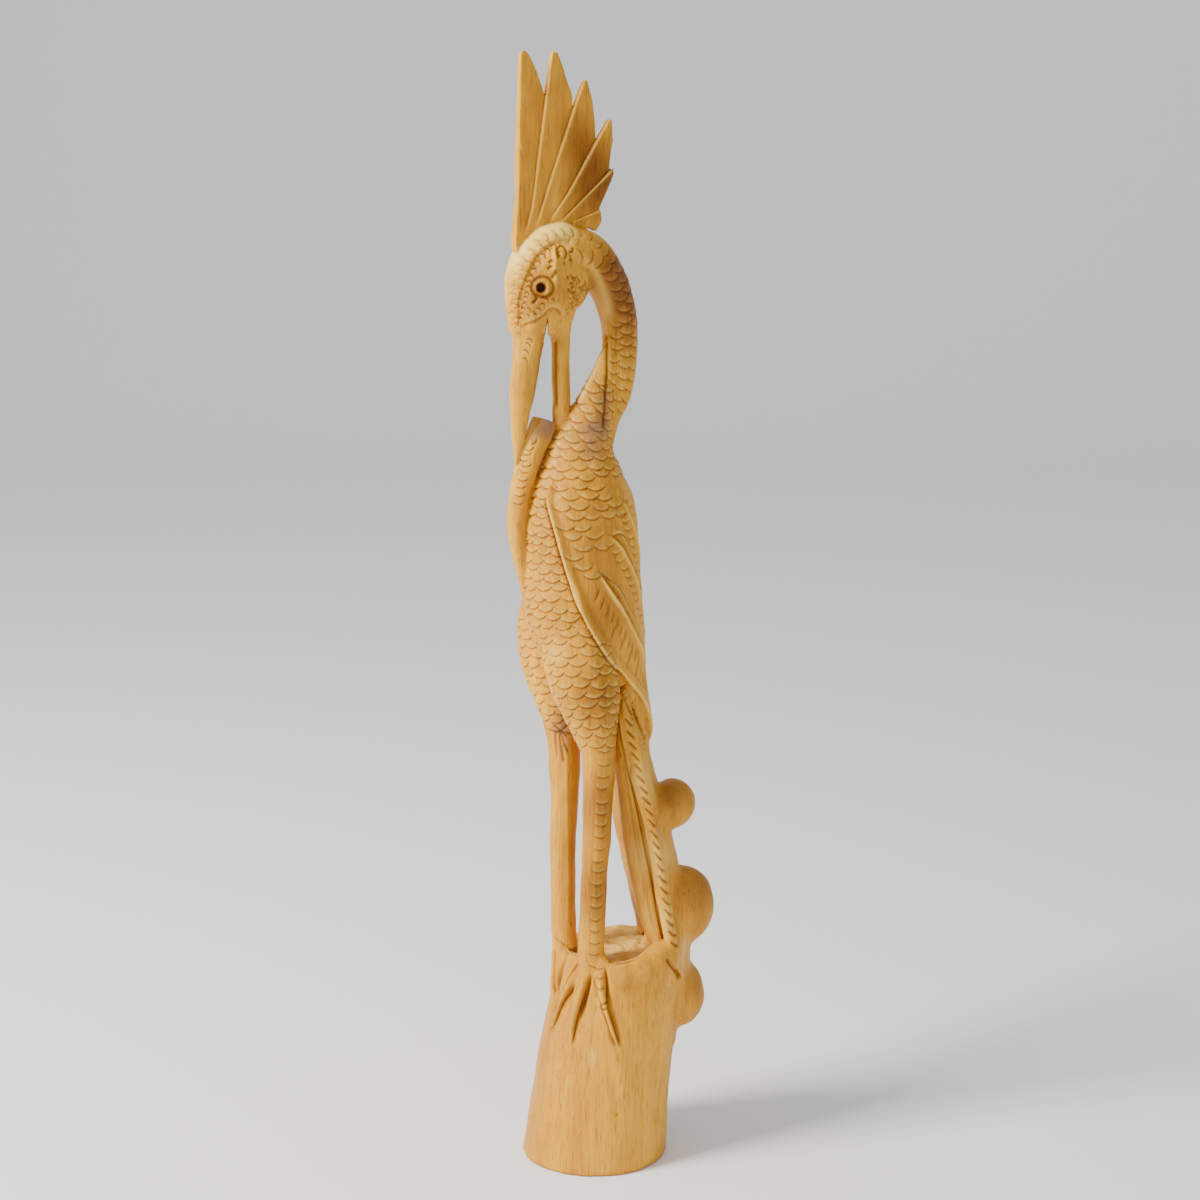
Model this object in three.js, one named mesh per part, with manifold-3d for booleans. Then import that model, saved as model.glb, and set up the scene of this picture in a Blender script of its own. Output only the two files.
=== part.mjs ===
// Carved wooden heron on a log, cut from one piece of pale wood: a plumed bird looks back over its
// folded neck and holds an eel against its breast with an open bill. Millimetres, +Z up. The origin is
// the middle of the log's sawn underside, +X points to the bird's back and +Y away from the side that
// the carver finished best.
import * as THREE from "three";
import { mergeVertices } from "three/addons/utils/BufferGeometryUtils.js";
import Module from "manifold-3d";

const wasm = await Module();
wasm.setup();

// Driving dimensions.
const HEIGHT = 508; // from the table to the tip of the crest
const LOG_TOP = 102; // height of the log's upper end
const BODY_TURN = THREE.MathUtils.degToRad(28); // how far the breast turns towards -Y
const HEAD_TURN = THREE.MathUtils.degToRad(25); // the same for the neck, head, bill and crest
const MIDDLE_X = -6; // the upright line in which the two middle planes cross
const MIDDLE_Y = -7;
const WING_THICK = 4.5; // of a folded wing, which stands about 2 proud of the body
const RIB_RISE = 1.1; // of the ribs and the leading ridge on the wings
const RIB_WIDE = 2;
const RIDGE_SLOPE = 5; // degrees round the wing over which its leading ridge rises
const EYE = { x: -26.9, z: 408.5, out: 11.4, ring: 3.9, rim: 0.9, proud: 1, pupil: 2.1, depth: 8 };
const EYE_TURN = THREE.MathUtils.degToRad(11); // where the near eye looks, as for the head
const BARB_DEEP = 0.3; // of the notches in the tail's barbed feather, as a share of its half width

// Directions: to the bird's left, which is the side nearest -Y, for its body and for its head.
const leftOf = (turn) => new THREE.Vector3(Math.sin(turn), -Math.cos(turn), 0);
const FRONT = leftOf(0);
const BODY_LEFT = leftOf(BODY_TURN);
const HEAD_LEFT = leftOf(HEAD_TURN);
const headY = (x) => MIDDLE_Y + (x - MIDDLE_X) * Math.tan(HEAD_TURN);

// Uniform Catmull-Rom value between rows, for every column at once.
function splineRow(rows, t) {
  const span = Math.min(Math.floor(t), rows.length - 2);
  const u = t - span;
  const at = (i) => rows[Math.max(0, Math.min(rows.length - 1, i))];
  const [p0, p1, p2, p3] = [at(span - 1), at(span), at(span + 1), at(span + 2)];
  return p1.map((b, k) => {
    const [a, c, d] = [p0[k], p2[k], p3[k]];
    return b + 0.5 * u * (c - a + u * (2 * a - 5 * b + 4 * c - d + u * (3 * (b - c) + d - a)));
  });
}

// Every row of a spline with `steps` rows to a span.
function denser(rows, steps) {
  const count = (rows.length - 1) * steps;
  return Array.from({ length: count + 1 }, (_, i) => splineRow(rows, i / steps));
}

// A closed manifold-3d solid from rings of points that all have the same length.
function skin(rings) {
  const n = rings[0].length;
  const positions = rings.flat();
  const middle = (ring) =>
    ring.reduce((sum, p) => sum.add(p), new THREE.Vector3()).divideScalar(n);
  const first = positions.push(middle(rings[0])) - 1;
  const last = positions.push(middle(rings.at(-1))) - 1;
  const faces = [];
  for (let j = 0; j < n; j++) {
    const k = (j + 1) % n;
    const end = (rings.length - 1) * n;
    faces.push(first, k, j, last, end + j, end + k);
    for (let i = 0; i + 1 < rings.length; i++) {
      const [a, b] = [i * n + j, i * n + k];
      faces.push(a, b, b + n, a, b + n, a + n);
    }
  }
  const geometry = new THREE.BufferGeometry().setFromPoints(positions);
  geometry.setIndex(faces);
  return solidFrom(geometry);
}

// A three.js geometry as a manifold-3d solid.
function solidFrom(geometry) {
  geometry.deleteAttribute("normal");
  geometry.deleteAttribute("uv");
  const merged = mergeVertices(geometry, 1e-4);
  return new wasm.Manifold(
    new wasm.Mesh({
      numProp: 3,
      vertProperties: new Float32Array(merged.attributes.position.array),
      triVerts: new Uint32Array(merged.index.array),
    }),
  );
}

// Rings of an oval limb. A row is x, y, z, half its width and half its depth; depth is measured
// towards `side`. `shape` may scale the radius by the angle and the place along the limb. The rings
// stand across the limb, or level if `level` is set.
function ovalRings(rows, { sides = 14, steps = 2, side = BODY_LEFT, shape = () => 1, level } = {}) {
  const dense = denser(rows, steps);
  const centres = dense.map(([x, y, z]) => new THREE.Vector3(x, y, z));
  return dense.map((row, i) => {
    const before = centres[Math.max(0, i - 1)];
    const after = centres[Math.min(centres.length - 1, i + 1)];
    const along = level ? new THREE.Vector3(0, 0, 1) : after.clone().sub(before).normalize();
    const deep = side.clone().addScaledVector(along, -side.dot(along)).normalize();
    const wide = deep.clone().cross(along);
    return Array.from({ length: sides }, (_, j) => {
      const angle = (2 * Math.PI * j) / sides;
      const scale = shape(angle, i / steps);
      return centres[i]
        .clone()
        .addScaledVector(wide, row[3] * scale * Math.cos(angle))
        .addScaledVector(deep, row[4] * scale * Math.sin(angle));
    });
  });
}
const limb = (rows, options) => skin(ovalRings(rows, options));

// The same solid on the bird's other side.
function mirrored(solid, left = BODY_LEFT) {
  const mesh = solid.getMesh();
  const point = new THREE.Vector3();
  const middle = new THREE.Vector3(MIDDLE_X, MIDDLE_Y, 0);
  const out = new Float32Array(mesh.numVert * 3);
  for (let i = 0; i < mesh.numVert; i++) {
    point.fromArray(mesh.vertProperties, i * mesh.numProp);
    const off = point.clone().sub(middle).dot(left);
    point.addScaledVector(left, -2 * off).toArray(out, i * 3);
  }
  const triVerts = Uint32Array.from(mesh.triVerts);
  for (let i = 0; i < triVerts.length; i += 3)
    [triVerts[i + 1], triVerts[i + 2]] = [triVerts[i + 2], triVerts[i + 1]];
  return new wasm.Manifold(new wasm.Mesh({ numProp: 3, vertProperties: out, triVerts }));
}
const both = (solid, left) => solid.add(mirrored(solid, left));

// The log: it leans towards +X, and its top is nearly level.
const LOG_ROWS = [
  [0, 0, 0, 32.8, 31.5],
  [0.3, 0, 3, 34, 32.5],
  [2.6, 0, 26, 32.4, 31.5],
  [6.4, 0, 56, 31.2, 30.5],
  [11, 0, 84, 30, 29.5],
  [12.8, 0, 97, 29.4, 29],
  [13.4, 0, LOG_TOP, 27.6, 27],
];
const log = () => limb(LOG_ROWS, { sides: 28, steps: 1, side: FRONT, level: true });

// The burl on the log's right side: a wavy column that carries the tail, with three round lobes.
function burl() {
  const column = limb(
    [
      [30, 4, 56, 8, 12],
      [33.5, 3, 84, 10.5, 14],
      [34.4, 3, 106, 10.6, 13],
      [32.6, 3, 126, 9.6, 12],
      [30.6, 2, 146, 7.4, 11],
      [27.4, 1, 166, 5.8, 10],
      [24.2, 0, 184, 4.2, 8],
      [21.4, -1, 206, 3, 6],
    ],
    { sides: 12, steps: 1, side: FRONT },
  );
  // The log's front rim rises towards the column under the tail's feathers.
  const rim = limb(
    [
      [3, -25.4, 96.4, 2.4, 4.4],
      [12, -26.2, 97.6, 2.8, 5],
      [20, -24.4, 98, 4, 6.4],
      [27, -20.2, 99.4, 5.4, 8.2],
      [33, -14, 101.6, 6.4, 9],
      [36, -5, 106, 6, 8],
    ],
    { sides: 12, steps: 1, side: new THREE.Vector3(0, 0, 1) },
  );
  const lobe = (x, y, z, wide, deep, tall, lean) => {
    const ball = new THREE.SphereGeometry(1, 12, 8);
    ball.rotateX(Math.PI / 2);
    ball.scale(wide, deep, tall);
    ball.rotateY(lean);
    ball.translate(x, y, z);
    return solidFrom(ball);
  };
  return column
    .add(rim)
    .add(lobe(36, 6, 168.5, 11.4, 11, 11.6, 0.3))
    .add(lobe(41.2, 6, 119.2, 15, 15, 18.6, 0.12))
    .add(lobe(38.6, 6, 76.5, 13.2, 14, 17, -0.1));
}

// The body, from between the thighs to the point where it runs up along the neck. A row is x and y of
// its middle, z and half its width as seen along +Y.
const BODY_ROWS = [
  [13, 1, 208, 5],
  [10.5, 0, 220, 11],
  [5, -2.4, 232, 16.6],
  [0, -5, 244, 21.2],
  [-3.6, -6.6, 257, 24.4],
  [-6, -7, 270, 26],
  [-6.8, -7, 288, 25.3],
  [-6.9, -7, 304, 24.6],
  [-6.8, -7, 315, 22.9],
  [-6.4, -7, 325, 19.6],
  [-6, -7, 334, 16],
  [-3.8, -6.8, 343.5, 12.6],
  [0.4, -6.2, 354, 9.4],
  [4, -5.6, 366, 6.6],
  [6.6, -5.2, 377, 4],
  [8.4, -5, 385, 1.8],
];
const LONG_OVAL = 1.044; // breast to back, and across, as shares of the width seen
const SHORT_OVAL = 0.86;
// The rump carries on down behind the thighs to the burl, in two halves.
const RUMP_ROWS = [
  [6, -3, 266, 12, 13],
  [10.6, -3, 244, 9.6, 12],
  [13.4, -3, 226, 7.8, 11],
  [15.6, -3, 212, 6.6, 10],
  [18.6, -2, 199, 4.4, 7],
  [21, 0, 187, 1.4, 2.4],
];
function body() {
  const trunk = BODY_ROWS.map(([x, y, z, half]) => [x, y, z, half * LONG_OVAL, half * SHORT_OVAL]);
  return limb(trunk, { sides: 20, steps: 1 }).add(both(limb(RUMP_ROWS, { sides: 12, steps: 1 })));
}

// A folded wing wraps the body. A row is x and y of its middle, z, half its width as seen along +Y,
// then how far round it reaches: degrees from straight back to its leading and trailing edges, and
// the width of the raised ridge along its leading edge.
const WING_ROWS = [
  [-6.4, -7, 328, 16.4, 152, 4, 0.8],
  [-6.6, -7, 321, 21.2, 150, 4, 0.8],
  [-6.8, -7, 315, 24.2, 146, 4, 0.9],
  [-6.9, -7, 304, 26.2, 136, 4, 1.1],
  [-6.8, -7, 288, 27.1, 126, 4, 1.5],
  [-6, -7, 270, 27.8, 115, 4, 2.2],
  [-3.6, -6.6, 257, 26.2, 107, 4, 2.8],
  [0, -5, 244, 23.2, 96, 4, 3.6],
  [5, -3.6, 232, 19, 80, 4, 4.4],
  [9.5, -3, 222, 15.6, 62, 6, 4.8],
  [12.5, -3, 212, 13.2, 44, 8, 4],
  [13.6, -3, 204, 12, 28, 14, 2],
  [13.2, -3, 197.5, 10.4, 22, 17, 0.8],
];
// The ribs of three long feathers, each from its blunt upper end: degrees round, and height.
const RIBS = [
  [[98, 288], [83, 274], [67, 261], [51, 247], [36, 233]],
  [[83, 301], [67, 292], [52, 280], [36, 264]],
  [[62, 316], [52, 306], [42, 294], [32, 281]],
];
const STRAIGHT_BACK = new THREE.Vector3(Math.cos(BODY_TURN), Math.sin(BODY_TURN), 0);
function onWing([x, y, z, half], degrees, out) {
  const angle = THREE.MathUtils.degToRad(degrees);
  return new THREE.Vector3(x, y, z)
    .addScaledVector(STRAIGHT_BACK, (half + out) * LONG_OVAL * Math.cos(angle))
    .addScaledVector(BODY_LEFT, (half + out) * SHORT_OVAL * Math.sin(angle));
}
function wing() {
  const rings = denser(WING_ROWS, 1).map((row) => {
    const [lead, trail, wide] = row.slice(4);
    const ridge = Math.min(lead - trail - 2, THREE.MathUtils.radToDeg(wide / row[3]));
    const foot = lead - ridge - Math.min(RIDGE_SLOPE, (lead - ridge - trail) / 2);
    const outer = [0, 0.25, 0.5, 0.75, 1].map((t) => trail + (foot - trail) * t);
    const inner = [1, 0.5, 0].map((t) => trail + (lead - trail) * t);
    return [
      ...outer.map((turn) => onWing(row, turn, 0)),
      onWing(row, lead - ridge, RIB_RISE),
      onWing(row, lead, RIB_RISE),
      ...inner.map((turn) => onWing(row, turn, -WING_THICK)),
    ];
  });
  return skin(rings);
}

// The far wing is left plainer: it has only the rib along its leading edge.
function wings() {
  const lie = (z) => {
    const below = WING_ROWS.findIndex((row) => row[2] < z);
    const [high, low] = [WING_ROWS[below - 1], WING_ROWS[below]];
    const t = (high[2] - z) / (high[2] - low[2]);
    return high.map((value, i) => THREE.MathUtils.lerp(value, low[i], t));
  };
  const half = RIB_WIDE / 2;
  const rib = (line) =>
    limb(
      line.map(([turn, z]) => [...onWing(lie(z), turn, RIB_RISE - half).toArray(), half, half]),
      { sides: 6, steps: 1 },
    );
  return RIBS.map(rib).reduce((all, one) => all.add(one), both(wing()));
}

// Thighs and legs, each one limb down to its foot on the log's rim.
const SCUTES = { count: 17, top: 196, bottom: 103, deep: 0.12 };
function legs() {
  const nearThigh = [
    [-4, -9, 290, 8, 7],
    [-6, -13, 272, 14, 11],
    [-6.8, -16.4, 258, 16.6, 13],
    [-6.4, -18.4, 247, 17, 13.4],
    [-5, -19.2, 237, 16.4, 12.8],
    [-2.2, -19.6, 224, 14.2, 11.6],
    [0.4, -20, 211, 10.6, 9.4],
    [2.4, -20.5, 200, 7.8, 7.6],
    [2.6, -21, 190, 6.6, 6.6],
    [2.3, -21.2, 183, 4.6, 4.8],
  ];
  const far = [
    [-14, -4, 280, 10, 8],
    [-18.6, 1, 265, 13.6, 11],
    [-20.6, 4, 253, 14.4, 12],
    [-21, 4.6, 243, 13.6, 12],
    [-19.6, 4.4, 230, 11.4, 11],
    [-17.4, 4.2, 216, 8.6, 9],
    [-14.6, 4, 203, 7.6, 7.2],
    [-13.5, 3.6, 190, 7.3, 6.6],
    [-13.75, 3, 170, 6.5, 6.2],
    [-14.4, 2, 140, 6, 5.9],
    [-14, 0, 113, 5.9, 5.8],
    [-13.8, -2, 102, 5.9, 6],
    [-14.6, -4, 92, 5.2, 6],
    [-16, -6, 82, 4.2, 5],
    [-17.6, -7, 73, 3, 4],
  ];
  // The near leg's rings stand at the scutes' edges and half way between them.
  const rings = SCUTES.count * 2;
  const nearLeg = Array.from({ length: rings + 1 }, (_, i) => {
    const t = i / rings;
    const half = 7.1 - 1.9 * t + 0.9 * t ** 4;
    const z = THREE.MathUtils.lerp(SCUTES.top, SCUTES.bottom, t);
    return [2.7 - 4.2 * t, -21 - 1.4 * Math.sin(Math.PI * t), z, half, half];
  });
  nearLeg.push([-1.6, -19.6, 91, 4.6, 5]);
  const scutes = (angle, i) => 1 - SCUTES.deep * Math.max(0, Math.cos(angle + 1.1)) * (i % 2) * (i < rings);
  return limb(nearThigh, { sides: 16, steps: 1, side: FRONT })
    .add(limb(nearLeg, { sides: 8, steps: 1, side: FRONT, shape: scutes }))
    .add(limb(far, { sides: 12, steps: 1, side: FRONT }));
}

// Toes lie down the log's flank. A row is the place round the log, in degrees from straight towards
// -Y to the left, then the height, the toe's half width and how deep its middle lies in the wood.
const TOES = [
  [[36, 110, 2, 2.4], [44, 101, 3.4, 2.4], [52, 88.6, 3.2, 1], [58, 75.4, 2.4, 1], [66, 63, 0.9, 0.8]],
  [[36, 110, 2, 2.4], [35, 101, 4, 2.4], [37, 88, 3.6, 1], [36, 74.5, 2.8, 1], [35, 59, 1, 0.8]],
  [[36, 110, 2, 2.4], [22, 101, 3.6, 2], [17, 90, 3, 1], [4, 73.8, 2.5, 1], [-10, 60.5, 0.9, 0.8]],
  [[87, 110, 2, 0], [84, 100, 3.8, 2], [80, 90, 3.2, 1], [72, 79, 2, 0.8], [66, 72, 0.8, 0.6]],
  [[87, 110, 2, 0], [100, 100, 3.4, 2], [108, 90, 3, 1], [118, 76, 2.2, 0.8], [124, 64, 0.8, 0.6]],
];
function toes() {
  const flank = (z) => {
    const above = LOG_ROWS.findIndex((row) => row[2] >= z);
    const to = above < 0 ? LOG_ROWS.length - 1 : Math.max(1, above);
    const [low, high] = [LOG_ROWS[to - 1], LOG_ROWS[to]];
    const t = Math.min(1, (z - low[2]) / (high[2] - low[2]));
    return low.map((value, i) => THREE.MathUtils.lerp(value, high[i], t));
  };
  const toe = (rows) => {
    const placed = rows.map(([turn, z, half, sunk]) => {
      const angle = THREE.MathUtils.degToRad(turn);
      const [x, y, , wide, deep] = flank(z);
      return [x - (wide - sunk) * Math.sin(angle), y - (deep - sunk) * Math.cos(angle), z, half, half];
    });
    return limb(placed, { sides: 6, steps: 1, side: FRONT });
  };
  return TOES.map(toe).reduce((all, one) => all.add(one));
}

// The tail: a plain feather, a barbed feather outside it and the tip of the far one behind.
function tail() {
  const plain = limb(
    [
      [11.4, -12, 227, 2.2, 5],
      [12.6, -12.4, 206, 3, 6],
      [14.4, -11.2, 190, 4.6, 6.4],
      [16.8, -10.6, 174.5, 5.4, 6.8],
      [20.2, -10.4, 152, 5.9, 6.8],
      [24.2, -11, 128, 5.6, 6.6],
      [27.6, -12, 113, 4.4, 6],
      [31.4, -12, 103, 2, 5],
    ],
    { sides: 8, steps: 1, side: FRONT },
  );
  const vane = [
    [13, -14.6, 228, 1.6, 3.6],
    [14.6, -14.8, 217, 3, 5],
    [16.8, -14.6, 206, 4.4, 5.6],
    [20.1, -14.2, 196, 4.2, 5.8],
    [21.8, -13.8, 186, 4.2, 6],
    [25.8, -13.4, 169, 4, 6],
    [30, -13.6, 147, 3.4, 6],
    [33.2, -14, 125, 3.2, 6],
    [36.8, -12, 100, 3, 5.5],
    [41, -7, 89, 0.9, 3],
  ];
  const barbs = (angle, t) => {
    const facing = Math.max(0, Math.cos(angle + 0.6));
    return 1 - BARB_DEEP * facing * (t % 1 > 0.4);
  };
  const rear = limb(
    [
      [6, 0, 224, 4, 6],
      [9, 2, 204, 4, 6],
      [11.8, 5, 184, 4.6, 6],
      [13.2, 8, 167.5, 5, 6],
      [16.5, 12, 142, 3.7, 5],
      [21.2, 18, 113, 2.4, 4],
      [23, 20, 99, 2, 3.4],
    ],
    { sides: 8, steps: 1, side: FRONT },
  );
  return plain.add(limb(vane, { sides: 8, steps: 2, side: FRONT, shape: barbs })).add(rear);
}

// Neck, head and bill, all in the head's middle plane.
const inHeadPlane = ([x, z, half, deep]) => [x, headY(x), z, half, deep];
function neckAndHead() {
  const neck = [
    [1.5, 326, 6, 6],
    [3, 339, 6, 6.6],
    [5.2, 350, 7, 7],
    [8.8, 361, 8, 7.6],
    [11.2, 373, 7.9, 7.8],
    [11.7, 386, 7.8, 7.9],
    [10.2, 397.5, 8.1, 8.2],
    [6.8, 407.5, 8.8, 8.8],
    [1.6, 415.8, 10.3, 9.7],
    [-6, 420.8, 12, 10.4],
    [-14, 420, 13.8, 11],
  ];
  const head = [
    [-1, 421, 5, 5],
    [-7, 422, 10, 9.4],
    [-13, 422, 14.4, 11.4],
    [-18, 418.4, 17.4, 12.4],
    [-20.8, 411, 18, 12.6],
    [-23.3, 403, 17, 11.8],
    [-26.6, 395.5, 13.8, 9.8],
    [-29.1, 389.8, 8.6, 7],
    [-28.4, 386.4, 4, 4.6],
  ];
  const jaw = [
    [-11, 416, 12, 10.8],
    [-13.8, 407, 11.6, 11.4],
    [-16, 400, 9.4, 10.4],
    [-15.4, 394.5, 6.8, 8],
    [-14.8, 388, 4.4, 5.4],
    [-14.6, 379, 3.4, 3.6],
  ];
  return limb(neck.map(inHeadPlane), { sides: 14, steps: 2, side: HEAD_LEFT })
    .add(limb(head.map(inHeadPlane), { sides: 18, steps: 1, side: HEAD_LEFT }))
    .add(limb(jaw.map(inHeadPlane), { sides: 14, steps: 1, side: HEAD_LEFT }));
}

function bill() {
  const upper = [
    [-27.2, 397, 7.6, 8],
    [-27.9, 389, 6.9, 6.8],
    [-29, 380, 6.5, 5.6],
    [-30.2, 370, 6.1, 4.8],
    [-31.3, 360, 5.6, 4.2],
    [-32.3, 350, 4, 3.6],
    [-33.2, 340, 2.5, 2.6],
    [-34, 331, 0.8, 1],
  ].map(inHeadPlane);
  const lower = [
    [-14, 400, 5, 6.4],
    [-14.4, 388, 4.2, 5.4],
    [-14.4, 376, 4.1, 4.7],
    [-14.2, 362, 4.1, 4.3],
    [-14.2, 350, 4.2, 4],
    [-13, 343, 3, 3.4],
  ].map(inHeadPlane);
  return limb(upper, { sides: 12, steps: 1, side: HEAD_LEFT }).add(
    limb(lower, { sides: 10, steps: 1, side: HEAD_LEFT }),
  );
}

// The eel: held by the bill at its blunt head, it hangs down the breast and runs out into it.
function eel() {
  const rows = [
    [-21.7, -13.6, 350, 5.3, 4],
    [-23.2, -14.6, 345.5, 5.6, 4.6],
    [-27, -16.2, 336.5, 5.5, 5],
    [-30.6, -17.2, 325.5, 5.2, 5],
    [-33.1, -17.4, 313, 4.8, 5],
    [-33.7, -17, 300, 4.2, 4.9],
    [-32, -16, 287, 3.5, 4.4],
    [-30.4, -15, 273, 1.8, 3],
  ];
  return limb(rows, { sides: 12, steps: 1, side: FRONT });
}

// The crest: six flat feathers in a fan. Each has its left edge and its right edge, from the crown up;
// the left edge stands proud of the feather before it.
const CREST = [
  [[-33, 417, -27, 418], [-34.6, 428, -27.4, 432], [-32.9, 452, -23, 458.7], [-32, 491, -20.4, 488],
    [-31.6, 500, -24.4, 499.6], [-31.3, 506.5, -27.8, 506.8], [-30.4, HEIGHT, -29, 507.8]],
  [[-31, 422, -22, 422], [-30, 432, -23.4, 435], [-27.2, 442.4, -19.2, 449], [-21.4, 484, -9.2, 482.4],
    [-19.4, 499, -9, 489], [-18.5, 506, -13, 500.5], [-17.6, 507.6, -15.6, 507.2]],
  [[-26, 424, -15, 424], [-25.4, 435, -17.7, 436.4], [-16.5, 462, -9.5, 448.8], [-8.3, 486, 0.9, 471],
    [-5.4, 493.6, -1, 489.4], [-4, 496, -2.6, 495.6]],
  [[-20, 424, -10, 424], [-19.7, 436.4, -13.3, 435.7], [-11.3, 448.8, -2, 446.5], [1, 471, 6.4, 458],
    [4.4, 476.4, 8.2, 470], [6.5, 479.4, 7.6, 479]],
  [[-16, 424, -5, 424], [-15.3, 435.7, -7.6, 435.4], [-3.6, 447.4, 1, 438.8], [4.2, 455, 5.2, 448.8],
    [7.8, 458.6, 8.4, 456]],
  [[-12, 422, -3, 422], [-9.4, 436.3, -3.4, 433.4], [-2.7, 438.9, 0.4, 431.8], [2.2, 440.6, 2.7, 436]],
];
const CREST_HALF = { root: 2.3, tip: 1.1, step: 0.8 };
function crest() {
  const feather = (rows) => {
    const rings = denser(rows, 1).map(([xl, zl, xr, zr]) => {
      const height = THREE.MathUtils.clamp((zl - 425) / (HEIGHT - 425), 0, 1);
      const half = THREE.MathUtils.lerp(CREST_HALF.root, CREST_HALF.tip, height);
      const corner = (x, z, deep) => new THREE.Vector3(x, headY(x), z).addScaledVector(HEAD_LEFT, deep);
      return [
        corner(xr, zr, CREST_HALF.step / 2 - half),
        corner(xl, zl, -half - CREST_HALF.step / 2),
        corner(xl, zl, half + CREST_HALF.step / 2),
        corner(xr, zr, half - CREST_HALF.step / 2),
      ];
    });
    return skin(rings);
  };
  return CREST.map(feather).reduce((all, one) => all.add(one));
}

// An eye: a dished ring with a drilled pupil, on each side of the head.
function eye(cut) {
  const dish = EYE.ring - EYE.rim;
  const clear = 3 * EYE.proud;
  const ring = [[0, -clear], [EYE.ring, -clear], [EYE.ring, 0], [dish, EYE.proud], [0, EYE.proud]];
  const bore = [[0, -EYE.depth], [EYE.pupil, -EYE.depth], [EYE.pupil, -EYE.proud / 2]];
  const profile = cut ? [...bore, [dish, EYE.proud * 0.9], [dish, clear], [0, clear]] : ring;
  const lathe = new THREE.LatheGeometry(profile.map(([r, h]) => new THREE.Vector2(r, h)), 20);
  const turn = new THREE.Quaternion().setFromUnitVectors(new THREE.Vector3(0, 1, 0), leftOf(EYE_TURN));
  lathe.applyQuaternion(turn);
  const place = new THREE.Vector3(EYE.x, headY(EYE.x), EYE.z).addScaledVector(HEAD_LEFT, EYE.out);
  lathe.translate(place.x, place.y, place.z);
  return both(solidFrom(lathe), HEAD_LEFT);
}

const standing = [log(), burl(), body(), wings(), legs(), toes(), tail()];
const looking = [neckAndHead(), bill(), eel(), crest(), eye(false)];
const heron = [...standing, ...looking].reduce((all, one) => all.add(one)).subtract(eye(true));

// The finished solid as one named mesh.
function meshFrom(solid, name, material) {
  const mesh = solid.getMesh();
  const positions = new Float32Array(mesh.numVert * 3);
  for (let i = 0; i < mesh.numVert; i++) {
    positions.set(mesh.vertProperties.subarray(i * mesh.numProp, i * mesh.numProp + 3), i * 3);
  }
  const geometry = new THREE.BufferGeometry();
  geometry.setAttribute("position", new THREE.BufferAttribute(positions, 3));
  geometry.setIndex(new THREE.BufferAttribute(new Uint32Array(mesh.triVerts), 1));
  geometry.computeVertexNormals();
  const made = new THREE.Mesh(geometry, material);
  made.name = name;
  return made;
}

const wood = new THREE.MeshStandardMaterial({ color: 0xc99a58, roughness: 0.5, metalness: 0 });
const sculpture = new THREE.Group();
sculpture.add(meshFrom(heron, "carved_heron", wood));

export default sculpture;
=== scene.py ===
import math
from typing import NamedTuple

import bpy
import numpy as np
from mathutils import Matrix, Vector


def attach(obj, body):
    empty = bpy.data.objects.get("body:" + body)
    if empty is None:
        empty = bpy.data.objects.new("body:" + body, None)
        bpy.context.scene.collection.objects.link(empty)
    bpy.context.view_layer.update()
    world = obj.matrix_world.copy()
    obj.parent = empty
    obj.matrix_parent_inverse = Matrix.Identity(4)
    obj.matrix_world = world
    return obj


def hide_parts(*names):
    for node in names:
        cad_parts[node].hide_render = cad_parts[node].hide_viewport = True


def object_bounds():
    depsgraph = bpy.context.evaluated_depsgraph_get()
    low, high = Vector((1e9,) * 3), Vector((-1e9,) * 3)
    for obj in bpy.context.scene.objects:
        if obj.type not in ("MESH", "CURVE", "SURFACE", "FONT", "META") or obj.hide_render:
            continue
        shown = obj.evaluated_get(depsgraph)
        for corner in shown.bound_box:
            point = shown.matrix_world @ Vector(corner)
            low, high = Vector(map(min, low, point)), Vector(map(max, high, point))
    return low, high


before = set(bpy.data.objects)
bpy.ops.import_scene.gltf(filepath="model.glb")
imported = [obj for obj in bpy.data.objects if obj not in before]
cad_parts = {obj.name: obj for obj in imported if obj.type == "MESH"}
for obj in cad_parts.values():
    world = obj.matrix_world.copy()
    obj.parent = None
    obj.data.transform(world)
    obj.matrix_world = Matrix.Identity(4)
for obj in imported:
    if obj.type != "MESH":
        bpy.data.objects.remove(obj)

import openvdb
from mathutils import Vector

CAD_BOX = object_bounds()

# Sizes in millimetres
MM = 0.001
HEIGHT = 508
LOG_TOP = 102
BODY_TURN = math.radians(28)
HEAD_TURN = math.radians(25)
MIDDLE = np.array([-6.0, -7.0, 0.0])
WING_THICK = 4.5
RIB_RISE = 1.1
RIB_WIDE = 2.0
RIB_RUN_OUT = 0.2
RIDGE_SLOPE = 5
LONG_OVAL = 1.044
SHORT_OVAL = 0.86
TWIN_RISE = 0.9
VOXEL = 0.45
BAND_VOXELS = 7
# A turned form is open by this much at its poles, so that no face there is empty.
POLE = 0.02
FILLET_BAND = 0.8
MOST_TRIANGLES = 190000
SEED = 7

# Directions
UP = np.array([0.0, 0.0, 1.0])
FRONT = np.array([0.0, -1.0, 0.0])
BODY_LEFT = np.array([math.sin(BODY_TURN), -math.cos(BODY_TURN), 0.0])
HEAD_LEFT = np.array([math.sin(HEAD_TURN), -math.cos(HEAD_TURN), 0.0])
STRAIGHT_BACK = np.array([math.cos(BODY_TURN), math.sin(BODY_TURN), 0.0])
HEAD_SIDES = (HEAD_LEFT, -HEAD_LEFT)


def head_y(x):
    """How deep the head's middle plane is."""
    return MIDDLE[1] + (x - MIDDLE[0]) * math.tan(HEAD_TURN)


def unit(v):
    return v / np.maximum(np.linalg.norm(v, axis=-1, keepdims=True), 1e-9)


def smoothstep(x):
    x = np.clip(x, 0, 1)
    return x * x * (3 - 2 * x)


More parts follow.
